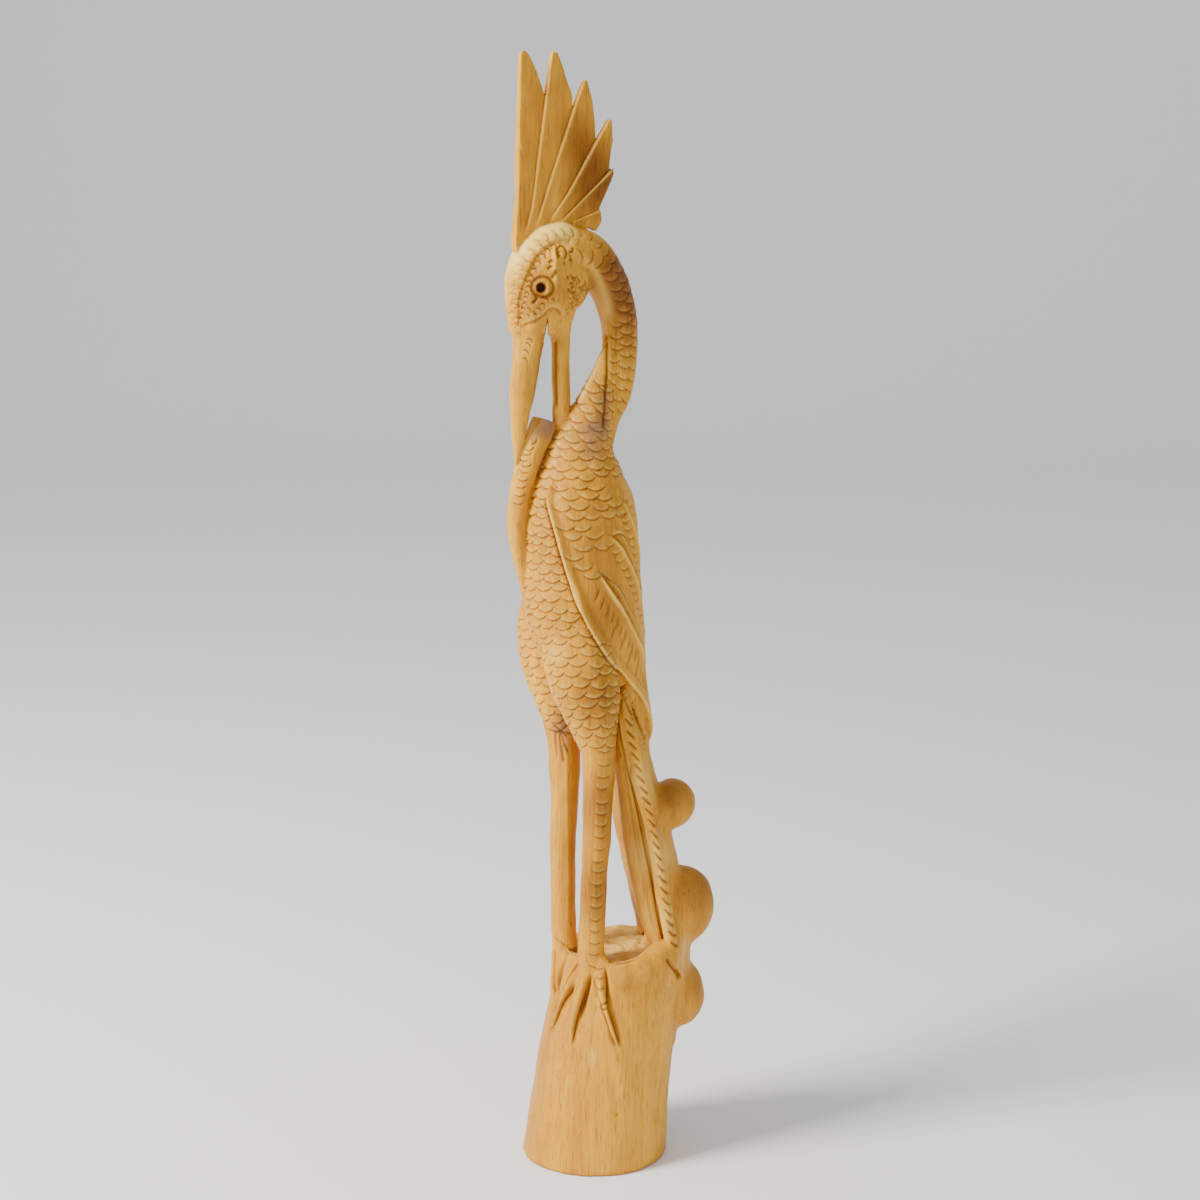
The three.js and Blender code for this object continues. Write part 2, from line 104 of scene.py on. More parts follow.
def bell(x, wide):
    return np.exp(-(x / wide) ** 2)


# Stations. A limb's row is x, y, z, half its width and half its depth.
LOG_ROWS = [
    [0, 0, 0, 32.8, 31.5], [0.3, 0, 3, 34, 32.5], [2.6, 0, 26, 32.4, 31.5], [6.4, 0, 56, 31.2, 30.5],
    [11, 0, 84, 30, 29.5], [12.8, 0, 97, 29.4, 29], [13.4, 0, LOG_TOP, 27.6, 27],
]
COLUMN_ROWS = [
    [30, 4, 56, 8, 12], [33.5, 3, 84, 10.5, 14], [34.4, 3, 106, 10.6, 13], [32.6, 3, 126, 9.6, 12],
    [30.6, 2, 146, 7.4, 11], [27.4, 1, 166, 5.8, 10], [24.2, 0, 184, 4.2, 8], [21.4, -1, 206, 3, 6],
]
RIM_ROWS = [
    [3, -25.4, 96.4, 2.4, 4.4], [12, -26.2, 97.6, 2.8, 5], [20, -24.4, 98, 4, 6.4],
    [27, -20.2, 99.4, 5.4, 8.2], [33, -14, 101.6, 6.4, 9], [36, -5, 106, 6, 8],
]
# A lobe of the burl is its middle, its half width, depth and height, and its lean.
LOBES = [
    [36, 6, 168.5, 11.4, 11, 11.6, 0.3], [41.2, 6, 119.2, 15, 15, 18.6, 0.12],
    [38.6, 6, 76.5, 13.2, 14, 17, -0.1],
]
# The body's rows are x, y, z and half the width seen from in front.
BODY_ROWS = [
    [13, 1, 208, 5], [10.5, 0, 220, 11], [5, -2.4, 232, 16.6], [0, -5, 244, 21.2], [-3.6, -6.6, 257, 24.4],
    [-6, -7, 270, 26], [-6.8, -7, 288, 25.3], [-6.9, -7, 304, 24.6], [-6.8, -7, 315, 22.9],
    [-6.4, -7, 325, 19.6], [-6, -7, 334, 16], [-3.8, -6.8, 343.5, 12.6], [0.4, -6.2, 354, 9.4],
    [4, -5.6, 366, 6.6], [6.6, -5.2, 377, 4], [8.4, -5, 385, 1.8],
]
RUMP_ROWS = [
    [6, -3, 266, 12, 13], [10.6, -3, 244, 9.6, 12], [13.4, -3, 226, 7.8, 11], [15.6, -3, 212, 6.6, 10],
    [18.6, -2, 199, 4.4, 7], [21, 0, 187, 1.4, 2.4],
]
# A wing's rows are as the body's, then the degrees from straight back to its two edges, and the width
# of the raised ridge along its leading edge.
WING_ROWS = [
    [-6.4, -7, 328, 16.4, 152, 4, 0.8], [-6.6, -7, 321, 21.2, 150, 4, 0.8],
    [-6.8, -7, 315, 24.2, 146, 4, 0.9], [-6.9, -7, 304, 26.2, 136, 4, 1.1],
    [-6.8, -7, 288, 27.1, 126, 4, 1.5], [-6, -7, 270, 27.8, 115, 4, 2.2],
    [-3.6, -6.6, 257, 26.2, 107, 4, 2.8], [0, -5, 244, 23.2, 96, 4, 3.6], [5, -3.6, 232, 19, 80, 4, 4.4],
    [9.5, -3, 222, 15.6, 62, 6, 4.8], [12.5, -3, 212, 13.2, 44, 8, 4], [13.6, -3, 204, 12, 28, 14, 2],
    [13.2, -3, 197.5, 10.4, 22, 17, 0.8],
]
# The ribs of three long feathers, as degrees round the wing and height.
RIBS = [
    [[98, 288], [83, 274], [67, 261], [51, 247], [36, 233]],
    [[83, 301], [67, 292], [52, 280], [36, 264]],
    [[62, 316], [52, 306], [42, 294], [32, 281]],
]
NEAR_THIGH_ROWS = [
    [-4, -9, 290, 8, 7], [-6, -13, 272, 14, 11], [-6.8, -16.4, 258, 16.6, 13], [-6.4, -18.4, 247, 17, 13.4],
    [-5, -19.2, 237, 16.4, 12.8], [-2.2, -19.6, 224, 14.2, 11.6], [0.4, -20, 211, 10.6, 9.4],
    [2.4, -20.5, 200, 7.8, 7.6], [2.6, -21, 190, 6.6, 6.6], [2.3, -21.2, 183, 4.6, 4.8],
]
NEAR_LEG_ROWS = [
    [2.7, -21, 196, 7.1, 7.1], [1.3, -22.2, 165, 6.5, 6.5], [-0.2, -22.2, 134, 6, 6],
    [-1.5, -21, 103, 6.1, 6.1], [-1.6, -19.6, 91, 4.6, 5],
]
FAR_LEG_ROWS = [
    [-14, -4, 280, 10, 8], [-18.6, 1, 265, 13.6, 11], [-20.6, 4, 253, 14.4, 12], [-21, 4.6, 243, 13.6, 12],
    [-19.6, 4.4, 230, 11.4, 11], [-17.4, 4.2, 216, 8.6, 9], [-14.6, 4, 203, 7.6, 7.2],
    [-13.5, 3.6, 190, 7.3, 6.6], [-13.75, 3, 170, 6.5, 6.2], [-14.4, 2, 140, 6, 5.9],
    [-14, 0, 113, 5.9, 5.8], [-13.8, -2, 102, 5.9, 6], [-14.6, -4, 92, 5.2, 6], [-16, -6, 82, 4.2, 5],
    [-17.6, -7, 73, 3, 4],
]
# A toe's rows are degrees round the log from straight in front, height, half width and depth sunk.
TOES = [
    [[36, 110, 2, 2.4], [44, 101, 3.4, 2.4], [52, 88.6, 3.2, 1], [58, 75.4, 2.4, 1], [66, 63, 0.9, 0.8]],
    [[36, 110, 2, 2.4], [35, 101, 4, 2.4], [37, 88, 3.6, 1], [36, 74.5, 2.8, 1], [35, 59, 1, 0.8]],
    [[36, 110, 2, 2.4], [22, 101, 3.6, 2], [17, 90, 3, 1], [4, 73.8, 2.5, 1], [-10, 60.5, 0.9, 0.8]],
    [[87, 110, 2, 0], [84, 100, 3.8, 2], [80, 90, 3.2, 1], [72, 79, 2, 0.8], [66, 72, 0.8, 0.6]],
    [[87, 110, 2, 0], [100, 100, 3.4, 2], [108, 90, 3, 1], [118, 76, 2.2, 0.8], [124, 64, 0.8, 0.6]],
]
PLAIN_FEATHER_ROWS = [
    [11.4, -12, 227, 2.2, 5], [12.6, -12.4, 206, 3, 6], [14.4, -11.2, 190, 4.6, 6.4],
    [16.8, -10.6, 174.5, 5.4, 6.8], [20.2, -10.4, 152, 5.9, 6.8], [24.2, -11, 128, 5.6, 6.6],
    [27.6, -12, 113, 4.4, 6], [31.4, -12, 103, 2, 5],
]
BARBED_FEATHER_ROWS = [
    [13, -14.6, 228, 1.6, 3.6], [14.6, -14.8, 217, 3, 5], [16.8, -14.6, 206, 4.4, 5.6],
    [20.1, -14.2, 196, 4.2, 5.8], [21.8, -13.8, 186, 4.2, 6], [25.8, -13.4, 169, 4, 6],
    [30, -13.6, 147, 3.4, 6], [33.2, -14, 125, 3.2, 6], [36.8, -12, 100, 3, 5.5], [41, -7, 89, 0.9, 3],
]
REAR_FEATHER_ROWS = [
    [6, 0, 224, 4, 6], [9, 2, 204, 4, 6], [11.8, 5, 184, 4.6, 6], [13.2, 8, 167.5, 5, 6],
    [16.5, 12, 142, 3.7, 5], [21.2, 18, 113, 2.4, 4], [23, 20, 99, 2, 3.4],
]
# Rows in the head's middle plane are x, z, half the width and half the depth.
NECK_ROWS = [
    [1.5, 326, 6, 6], [3, 339, 6, 6.6], [5.2, 350, 7, 7], [8.8, 361, 8, 7.6], [11.2, 373, 7.9, 7.8],
    [11.7, 386, 7.8, 7.9], [10.2, 397.5, 8.1, 8.2], [6.8, 407.5, 8.8, 8.8], [1.6, 415.8, 10.3, 9.7],
    [-6, 420.8, 12, 10.4], [-14, 420, 13.8, 11],
]
HEAD_ROWS = [
    [-1, 421, 5, 5], [-7, 422, 10, 9.4], [-13, 422, 14.4, 11.4], [-18, 418.4, 17.4, 12.4],
    [-20.8, 411, 18, 12.6], [-23.3, 403, 17, 11.8], [-26.6, 395.5, 13.8, 9.8], [-29.1, 389.8, 8.6, 7],
    [-28.4, 386.4, 4, 4.6],
]
JAW_ROWS = [
    [-11, 416, 12, 10.8], [-13.8, 407, 11.6, 11.4], [-16, 400, 9.4, 10.4], [-15.4, 394.5, 6.8, 8],
    [-14.8, 388, 4.4, 5.4], [-14.6, 379, 3.4, 3.6],
]
UPPER_BILL_ROWS = [
    [-27.2, 397, 7.6, 8], [-27.9, 389, 6.9, 6.8], [-29, 380, 6.5, 5.6], [-30.2, 370, 6.1, 4.8],
    [-31.3, 360, 5.6, 4.2], [-32.3, 350, 4, 3.6], [-33.2, 340, 2.5, 2.6], [-34, 331, 0.8, 1],
]
LOWER_BILL_ROWS = [
    [-14, 400, 5, 6.4], [-14.4, 388, 4.2, 5.4], [-14.4, 376, 4.1, 4.7], [-14.2, 362, 4.1, 4.3],
    [-14.2, 350, 4.2, 4], [-13, 343, 3, 3.4],
]
EEL_ROWS = [
    [-21.7, -13.6, 350, 5.3, 4], [-23.2, -14.6, 345.5, 5.6, 4.6], [-27, -16.2, 336.5, 5.5, 5],
    [-30.6, -17.2, 325.5, 5.2, 5], [-33.1, -17.4, 313, 4.8, 5], [-33.7, -17, 300, 4.2, 4.9],
    [-32, -16, 287, 3.5, 4.4], [-30.4, -15, 273, 1.8, 3],
]
# A crest feather's rows are x and z of its left edge and of its right edge, from the crown up.
CREST = [
    [[-33, 417, -27, 418], [-34.6, 428, -27.4, 432], [-32.9, 452, -23, 458.7], [-32, 491, -20.4, 488],
     [-31.6, 500, -24.4, 499.6], [-31.3, 506.5, -27.8, 506.8], [-30.4, HEIGHT, -29, 507.8]],
    [[-31, 422, -22, 422], [-30, 432, -23.4, 435], [-27.2, 442.4, -19.2, 449], [-21.4, 484, -9.2, 482.4],
     [-19.4, 499, -9, 489], [-18.5, 506, -13, 500.5], [-17.6, 507.6, -15.6, 507.2]],
    [[-26, 424, -15, 424], [-25.4, 435, -17.7, 436.4], [-16.5, 462, -9.5, 448.8], [-8.3, 486, 0.9, 471],
     [-5.4, 493.6, -1, 489.4], [-4, 496, -2.6, 495.6]],
    [[-20, 424, -10, 424], [-19.7, 436.4, -13.3, 435.7], [-11.3, 448.8, -2, 446.5], [1, 471, 6.4, 458],
     [4.4, 476.4, 8.2, 470], [6.5, 479.4, 7.6, 479]],
    [[-16, 424, -5, 424], [-15.3, 435.7, -7.6, 435.4], [-3.6, 447.4, 1, 438.8], [4.2, 455, 5.2, 448.8],
     [7.8, 458.6, 8.4, 456]],
    [[-12, 422, -3, 422], [-9.4, 436.3, -3.4, 433.4], [-2.7, 438.9, 0.4, 431.8], [2.2, 440.6, 2.7, 436]],
]
CREST_FOOT, CREST_ROOT, CREST_TIP, CREST_STEP = 425, 2.3, 1.1, 0.8
EYE_X, EYE_Z, EYE_OUT = -26.9, 408.5, 11.4
EYE_RING, EYE_RIM, EYE_PROUD, EYE_PUPIL, EYE_DEPTH = 3.9, 0.9, 1, 2.1, 8
EYE_TURN = math.radians(11)

# Carving in the surface, in millimetres: the log's places are degrees round and height, the head's are
# in its middle plane, and the tail's and legs' are x and z as seen from the front.
LEAST_FACING = 0.15
EDGE = 0.6
ARC_END, ARC_FADE = 1.1, 0.45
LIP_SOFT, LIP_RISE = 0.4, 0.3
MARKS = [(9, 0.5), (23, 0.6)]
# Painted shade in hollows: the surface is smoothed this many rounds, and a point sunk this deep below the
# smoothed one is fully shaded. Convex edges get a painted highlight that is full this far proud, the cut
# highlights are scaled by a share, and the darker tone and painted shade is full at the darkest amount.
CAVITY_ROUNDS = 10
CAVITY_DEEP = 0.6
EDGE_PROUD = 1.1
HIGHLIGHT_SHARE = 0.9
DARKEST = 1.5
MARK_WAVES, MARK_SPREAD = 10, [1, 1, 0.4]
# Chips on the log's top: their number, how far round its middle they lie, and their reach, sizes, depths and
# shades, darker with painted shade above zero and paler below.
TOP_CHIPS, TOP_MIDDLE, TOP_REACH, CHIP_REACH = 420, 12.8, 25, 4.5
CHIP_SIZES, CHIP_DEPTHS, CHIP_SHADES = (1, 3), (0.1, 0.6), (-0.6, 0.5)
# Stipple on the cheek: its number, the corners of its place, and where its slanting floor and roof
# start and how they climb.
CHEEK_CUTS, CHEEK_LOW, CHEEK_HIGH = 210, (-15.6, 395.0), (-2.6, 415.0)
CHEEK_FLOOR, CHEEK_ROOF = (394.5, 0.8), (415.5, -0.55)
RIB_GAP = 8.5
SCUTE_TOP, SCUTE_PITCH, SCUTE_SHIFT = 202, 5.65, 0.42
BARB_PITCH = 5.4
BARB = np.array([[1.3, 1.2], [3.4, -0.8], [6.4, -3.4]])
# Wrinkles over the far foot: the first one, the step to the next, and their number.
WRINKLE = np.array([[-18.4, 108.5], [-17.3, 106.3], [-15.6, 105.3]])
WRINKLE_STEP, WRINKLES = np.array([1.5, -0.9]), 5
# A form's scales are the heights of their lowest and highest row and the pitch, the turns that have them
# and their width.
SCALE_SPACING, LEAST_GIRTH = 0.88, 3.0
SCALE_JITTER = np.array([0.4, 1.5, 0.07])
BODY_SCALES = (214, 367, 4.1), (-180, 180), 8.8
NEAR_THIGH_SCALES = (204.4, 276, 4.7), (-60, 250), 9.4
FAR_LEG_SCALES = (209.4, 272, 4.4), (-180, 180), 8.4
WING_SCALES = (226, 327, 4.3), (8, 146), 9.4
# Small scales beside a rib: which rib, how far they go past its low and high end, their lag and width.
RIB_SCALES = [(1, -18, -3, 8, 4.8), (2, -18, -3, 8, 4.8), (2, -8, -4, -14, 5.2)]
# Barbs of the smooth long feather, from a place on the lowest rib.
VANE_STROKES = [[[3, -3], [5, -7], [10, -11]], [[9, -7], [11, -11], [17, -15]]]
NEAR_LEG_EDGE = [[1.1, 196], [-2.05, 106]]
# A line of the far leg is its points, width, depth, the strength of its painted shade, or of its painted
# highlight on a ridge, and how far it runs out at its ends.
FAR_LEG_LINES = [
    ([[-12.7, 202], [-12.4, 172], [-12, 144], [-12, 112]], 0.8, -0.35, 0.3, 8),
    ([[-15.4, 206], [-13.4, 200], [-11.4, 195]], 0.5, 0.5, 0.8, 1.5),
    ([[-15.9, 205], [-14.8, 198], [-13.4, 190]], 0.5, 0.5, 0.8, 1.5),
    ([[-17.6, 206], [-17.4, 199], [-16.8, 193]], 0.5, 0.5, 0.8, 1.5),
    ([[-18.6, 208.6], [-15, 205.8], [-11.6, 202.4]], 0.45, 0.6, 1, 1),
    ([[-17.6, 204], [-14.4, 206], [-11.6, 209]], 0.45, 0.6, 1, 1),
]
FAR_LEG_HEM = [[-8, 204], [-13, 205.2], [-18, 205.8], [-22.5, 206.6]]
WING_CREVICE = [[7.6, 236.4], [11.6, 228.7], [14.5, 223.3], [17.7, 217.4], [20.2, 211.8], [22.3, 206.3],
                [23.4, 201]]
TAIL_SPLIT = [[33.2, 103.4], [37.2, 96.3], [40.4, 88.4]]
RIM_CRACK = [[5.6, 103], [11, 103.4], [17, 104.4], [22, 106.4], [26.6, 108.4]]
# The gash on the log's rim, as x, y and z.
RIM_GASH = [[5, -25, 103.6], [9, -25, 103.4], [13, -24, 104], [18, -22.6, 105]]
KNOT = [-14, 30]
INSTEP = [[4, 94], [-8, 91], [-22, 90], [-36, 91]]
# Painted shade darkens the log towards its bottom edge, up to this height.
BOTTOM_EDGE = 1.6
# A toe's cut, and a line of the tail, is its points, its width and its depth.
TOE_CUTS = [
    ([[27, 98], [28, 95], [29, 89], [31, 79], [33, 73], [34, 61]], 1.1, 1.9),
    ([[27, 97], [20, 88], [13, 82], [1, 68.5], [-7, 61]], 0.8, 1.5),
    ([[17, 102], [12, 93], [7.5, 83.5], [0, 74.5], [-9.5, 62.5]], 0.9, 1.5),
    ([[38, 93], [41, 91], [48, 84], [56, 74.5], [62, 68], [68, 62.5]], 1.1, 1.9),
    ([[41, 103], [49, 95.5], [53, 89.5], [58, 82], [67, 72.5]], 0.9, 1.2),
    ([[74, 105], [66, 99.5], [67, 93.5], [68, 86], [66, 79.5]], 1.1, 2.0),
    ([[80, 103], [77, 95], [73, 86], [67, 80]], 0.8, 1.2),
    ([[108, 103], [116, 94], [122, 84], [127, 70]], 1.0, 1.6),
    ([[92, 101], [97, 94], [106, 84], [120, 66]], 0.9, 1.4),
]
TOE_RIDGES = [
    [[36, 97], [44, 88], [51, 80], [58, 72]],
    [[32, 98], [34, 88], [36, 77], [36, 68]],
    [[21, 98], [16, 90], [10, 82], [2, 73], [-6, 64]],
]
TOE_SCUTES = [[1.6, 100.6], [2, 96.4], [2.6, 92.2]]
JOINT_CUTS = [[13, 84.6], [12.4, 81.8]]
JOINT_CUT = np.array([[4.6, 1.2], [0, -0.6], [-4.6, 1.2]])
JOINT_RING = [[17.6, 84.6], [12.6, 82.6], [8, 84.4]]
TAIL_SHAFT = [[11.7, 220], [13, 208], [16.2, 194.2], [20, 179.3], [22.8, 167], [25.4, 153], [27.9, 139],
              [30.2, 126], [32.5, 114], [34, 106]]
TAIL_LINES = [
    ([[10.7, 202], [13.6, 193.5], [16, 179], [18.7, 163], [21.6, 147], [24.6, 131], [27.4, 116]], 0.63, 0.42),
    ([[12.4, 198], [14.4, 186], [16.8, 172], [19, 158], [21.4, 143], [24, 128]], 0.42, 0.3),
    ([[9.6, 196], [11.6, 182], [13.8, 166], [16, 150], [18.6, 134], [21.4, 118]], 0.49, 0.36),
    ([[17.6, 176], [20.4, 160], [23, 145], [25.8, 128]], 0.35, 0.21),
]
FACE_BORDER = [[-12.6, 428.8], [-16.2, 429.2], [-20, 428.7], [-24.5, 426], [-29, 421.3], [-31.9, 415.2],
               [-34.2, 408.5], [-35.3, 402.6], [-35.2, 397.7], [-34.7, 391]]
CROWN_OUTLINE = [[-36.6, 391], [-38, 402], [-37.6, 411], [-35, 420], [-29.6, 428.6], [-23, 433.4],
                 [-14.6, 435], [-6, 433], [1, 429], [6, 423]]
MOUTH_LINE = [[-17.4, 395.1], [-18.8, 398.2], [-21.6, 399.8], [-23.8, 399.2], [-26.3, 396.5],
              [-29.9, 394.1], [-33.4, 392.2], [-34.4, 389.8]]
# The narrow end of the gap between the bills, as seen from the front, and how deep it goes to each side.
MOUTH_CUT, HEAD_DEEP = [[-22.3, 384], [-19.6, 396.2], [-19.3, 384]], 12
# A hook or tuft of the face is x, z and its width.
FACE_HOOKS = [[-21, 427, 2.99], [-24, 425, 3.105], [-26.6, 422.2, 3.105], [-28.6, 419.2, 2.99],
              [-30.2, 416.4, 2.875], [-31.3, 413.6, 2.76], [-32.1, 410.9, 2.645], [-32.6, 408.3, 2.53],
              [-33, 405.8, 2.415], [-33.4, 403.3, 2.415], [-33.8, 400.9, 2.3], [-34.2, 398.5, 2.3],
              [-34.6, 396.1, 2.185], [-34.8, 393.8, 2.07]]
CHEEK_TUFTS = [[-32.2, 398.6, 2.3], [-30.5, 397.4, 2.4], [-30.6, 400.7, 2], [-28.3, 398.5, 2.4],
               [-29.4, 396, 2], [-26.8, 400.6, 2.3], [-25.2, 402.3, 2.3], [-22.5, 402.3, 2.2],
               [-32.2, 395.6, 2]]
CHIN = [[-4.4, 406.6], [-7.4, 405.8], [-9.2, 402.6], [-10.6, 399], [-12, 396]]
# A lane of arcs on the neck is how far out it lies, its top and bottom, and their width.
NECK_LANES = [[0.05, 423, 352, 7.6], [0.6, 425, 350, 7.4], [-0.6, 391, 366, 6.4], [0.98, 422, 350, 5]]
# The neck's arcs grow fainter between these heights, in depth and in their painted highlight.
NECK_FADE, NECK_DEPTHS, NECK_PALES = (372, 392), (0.45, 0.28), (0.5, 0.25)
NECK_PITCH = 5
CROWN_LANES, CROWN_PITCH, CROWN_WIDE = (0.3, 0.75), 4.2, 5.4
BROW = [[-21, 426.4], [-21.4, 420.8], [-22, 416.1], [-21.6, 412.3], [-21.1, 408.5]]
BROW_CURLS = [
    [[-20.2, 420.6], [-20.6, 423.6], [-19.4, 425.7], [-17.7, 426.1], [-16.5, 424.7], [-16.5, 422.4],
     [-17.8, 420.3]],
    [[-19.2, 424.5], [-19.9, 422.4], [-18.8, 421.4]],
    [[-13.3, 425.6], [-13.8, 423.6], [-15.6, 423.7]],
    [[-18.4, 418.6], [-16.9, 419]],
    [[-15.8, 420.2], [-13.6, 420]],
    [[-24, 418.6], [-23, 420], [-21.8, 419.4]],
    [[-24.6, 416], [-23.5, 417.5], [-22.3, 416.9]],
]
EYE_CORNERS = [[[-23.4, 412.2], [-21.9, 414.6], [-21.6, 416.6]],
               [[-28.2, 404.6], [-29.4, 402.8], [-29.9, 401.4]]]
NECK_BAND = [[-14, 423], [-8.3, 420.4], [-2.9, 414.4], [0.8, 407.5], [3.5, 400.5], [4.8, 392]]
LOWER_BILL_GROOVE = [[-18.2, 395], [-17.9, 387], [-17.7, 372], [-17.4, 354]]
UPPER_BILL_SHADE = [[-23, 388], [-24.8, 376], [-26.4, 364], [-28.4, 350]]
NOSTRIL_CUTS = [[-30.6, 386], [-31, 383.4], [-31.8, 380.6], [-32.2, 377]]
BREAST_EDGE = [[4.4, 380], [1.9, 374.4], [-0.8, 368.2], [-4, 361.8], [-7.4, 355.6]]
NECK_CREASE = [[5, 388], [5.9, 378], [5.9, 370], [5.5, 361.5], [5.3, 354], [4.2, 345]]
# An eel's cut is x, z, the turn of its tip and its width.
EEL_CUTS = [
    [-27.8, 338.6, 20, 4.6], [-25.4, 341.4, 40, 4], [-29.8, 335.6, 10, 4.8], [-31.6, 332.8, -10, 4.4],
    [-29.2, 331.2, 0, 5.2], [-31.4, 328.4, -20, 4.6], [-30.6, 325, 0, 5.2], [-32.4, 321.6, 0, 4.6],
    [-31.4, 317.6, 10, 4.6], [-33.2, 313.4, 0, 4.4],
]
EEL_FLANK = [[-26, 351], [-28.2, 345], [-30.8, 338.6], [-33.6, 331]]
# A stain is its place, its reach and its strength.
STAINS = [
    [[24, -21, 90.8], 5, 0.5], [[31, -16, 86.9], 6, 0.6], [[20, -24, 93], 5, 0.4],
    [[-1.5, -17.8, 341.5], 15, 0.65], [[3, -14.6, 348], 10, 0.8], [[5.4, -11, 358], 8, 0.5],
    [[-22.6, -17, 345.6], 9, 0.9], [[-20.2, -16, 350], 6, 0.9], [[-15, -4, 207], 8, 0.9],
    [[-14, -8, 214], 9, 0.55], [[-12.6, -3, 200], 7, 0.6], [[20.6, 13, 116], 8, 1.0],
    [[21.8, 16, 108], 6, 0.9], [[22, 8, 104], 12, 0.25], [[-20, -10, 206], 5, 0.6], [[-18, 6, 396], 5, 0.4],
    [[-6, -12, 404], 6, 0.55], [[46, 2, 128], 18, 0.22], [[36, -2, 174], 14, 0.2],
]
# A tone is a place, its reach and how much darker the colour is there, or paler if below zero; it is partly
# the wood's own tone and partly painted shade and painted highlight, as on the shaded neck, crest and bill
# side and the lit thigh.
TONES_AND_SHADING = [
    [[9, -9, 412], 20, 2.0], [[15, -5, 398], 18, 1.6], [[14, -6, 382], 14, 1.0], [[1, -12, 362], 12, 0.9],
    [[3, -6, 452], 26, 1.8], [[-4, -8, 472], 18, 0.9], [[-14, -11, 470], 16, 0.3], [[35, -2, 176], 14, 0.8],
    [[46, 2, 128], 17, 1.0], [[46, -2, 84], 12, 0.4], [[31, -8, 146], 12, -0.4], [[34, -10, 168], 8, -0.3],
    [[40, -8, 104], 10, -0.3], [[-33, -20, 424], 16, -0.9], [[-24, -16, 434], 15, -0.9],
    [[-38, -14, 408], 15, -0.9], [[-14, -16, 433], 12, -0.9], [[-37, -14, 395], 8, -0.4],
    [[-25, -28, 417], 9, 0.8], [[-14.6, -16, 366], 16, 0.5], [[-14.8, -16, 384], 8, 0.5],
    [[-24, -28, 406], 12, 0.9], [[-31, -26, 401], 7, 0.5], [[-20, -28, 300], 24, 0.25],
    [[-12, -24, 406], 11, 0.5], [[-30, -22, 370], 18, 0.4], [[2, -32, 228], 24, 1.2],
    [[8, -34, 262], 24, 0.8], [[-9, -4, 150], 9, 0.4], [[-9, -4, 124], 9, 0.4], [[-9, -4, 174], 9, 0.4],
    [[21, -18, 186], 16, -0.4], [[28, -20, 150], 18, -0.45], [[33, -18, 122], 14, -0.35],
    [[14, 0, 170], 18, -0.3], [[18, 8, 140], 18, -0.3], [[2, -28, 178], 26, 1.0], [[0, -28, 136], 26, 0.85],
    [[14, -4, 106], 22, -0.35], [[14, 16, 106], 18, -0.4], [[-0.4, -30, 60], 3, -0.4],
    [[-0.7, -30, 56.5], 3, -0.4], [[-17, -28, 248], 9, -0.35], [[-21.6, -20, 346.6], 7, 1.5],
    [[4, -15, 351], 9, 0.9], [[-16, -22, 300], 34, 0.22], [[-18, -18, 256], 24, 0.2],
]


# Lines and lofts
def curve(rows, steps=6):
    """A smooth Catmull-Rom line or table through the stations, `steps` rows to a span."""
    rows = np.asarray(rows, float)
    padded = np.vstack([rows[:1], rows, rows[-1:]])
    t = np.linspace(0, len(rows) - 1, (len(rows) - 1) * steps + 1)
    span = np.minimum(t.astype(int), len(rows) - 2)
    u = (t - span)[:, None]
    a, b, c, d = (padded[span + k] for k in range(4))
    return b + 0.5 * u * (c - a + u * (2 * a - 5 * b + 4 * c - d + u * (3 * (b - c) + d - a)))


def between(where, stations, rows):
    """Rows on straight lines between the stations."""
    return np.stack([np.interp(where, stations, column) for column in rows.T], axis=-1)


def row_at(rows, z):
    """The row of a table at a height."""
    rows = np.asarray(rows, float)
    rows = rows[np.argsort(rows[:, 2])]
    return between(z, rows[:, 2], rows)


def spaced(line, pitch, start=0.0):
    """Places every `pitch` along a line, with the line's direction at each."""
    run = np.concatenate([[0], np.cumsum(np.linalg.norm(np.diff(line, axis=0), axis=1))])
    where = np.arange(start, run[-1], pitch)
    return between(where, run, line), unit(between(where + 0.5, run, line) - between(where - 0.5, run, line))


def circle(sides):
    return np.linspace(0, 2 * math.pi, sides, endpoint=False)


def in_head(x, z):
    """A point of the head's middle plane."""
    return np.array([x, head_y(x), z])


def limb(rows, side, steps=6, sides=40, level=False):
    """Rings of an oval limb whose depth lies towards `side`."""
    dense = curve(rows, steps)
    centres = dense[:, :3]
    along = np.tile(UP, (len(dense), 1)) if level else unit(np.gradient(centres, axis=0))
    deep = unit(side - along * (along @ side)[:, None])
    wide = np.cross(deep, along)
    across = wide[:, None] * (dense[:, 3, None] * np.cos(circle(sides)))[..., None]
    through = deep[:, None] * (dense[:, 4, None] * np.sin(circle(sides)))[..., None]
    return centres[:, None] + across + through


def head_limb(rows):
    """A limb whose rows are in the head's middle plane."""
    return limb([[x, head_y(x), z, half, deep] for x, z, half, deep in rows], HEAD_LEFT)


def mirrored(rings, left=BODY_LEFT):
    """The same points on the bird's other side."""
    off = (rings - MIDDLE) @ left
    return rings - 2 * off[..., None] * left


def lobe(x, y, z, wide, deep, tall, lean, rings=24, sides=40):
    """Rings of one round lobe of the burl."""
    down = np.linspace(0, math.pi, rings)[:, None]
    bulge = np.sin(np.clip(down, POLE, math.pi - POLE))
    across, up = wide * bulge * np.cos(circle(sides)), tall * np.cos(down)
    through = deep * bulge * np.sin(circle(sides))
    c, s = math.cos(lean), math.sin(lean)
    return np.stack([c * across + s * up, through, c * up - s * across], axis=-1) + [x, y, z]


def on_wing(row, degrees, out):
    """The point of a wing or the body at an angle from straight back, `out` proud of its row."""
    row = np.asarray(row, float)
    turn = np.radians(degrees)
    reach = row[..., 3] + out
    return (row[..., :3] + STRAIGHT_BACK * (reach * LONG_OVAL * np.cos(turn))[..., None]
            + BODY_LEFT * (reach * SHORT_OVAL * np.sin(turn))[..., None])


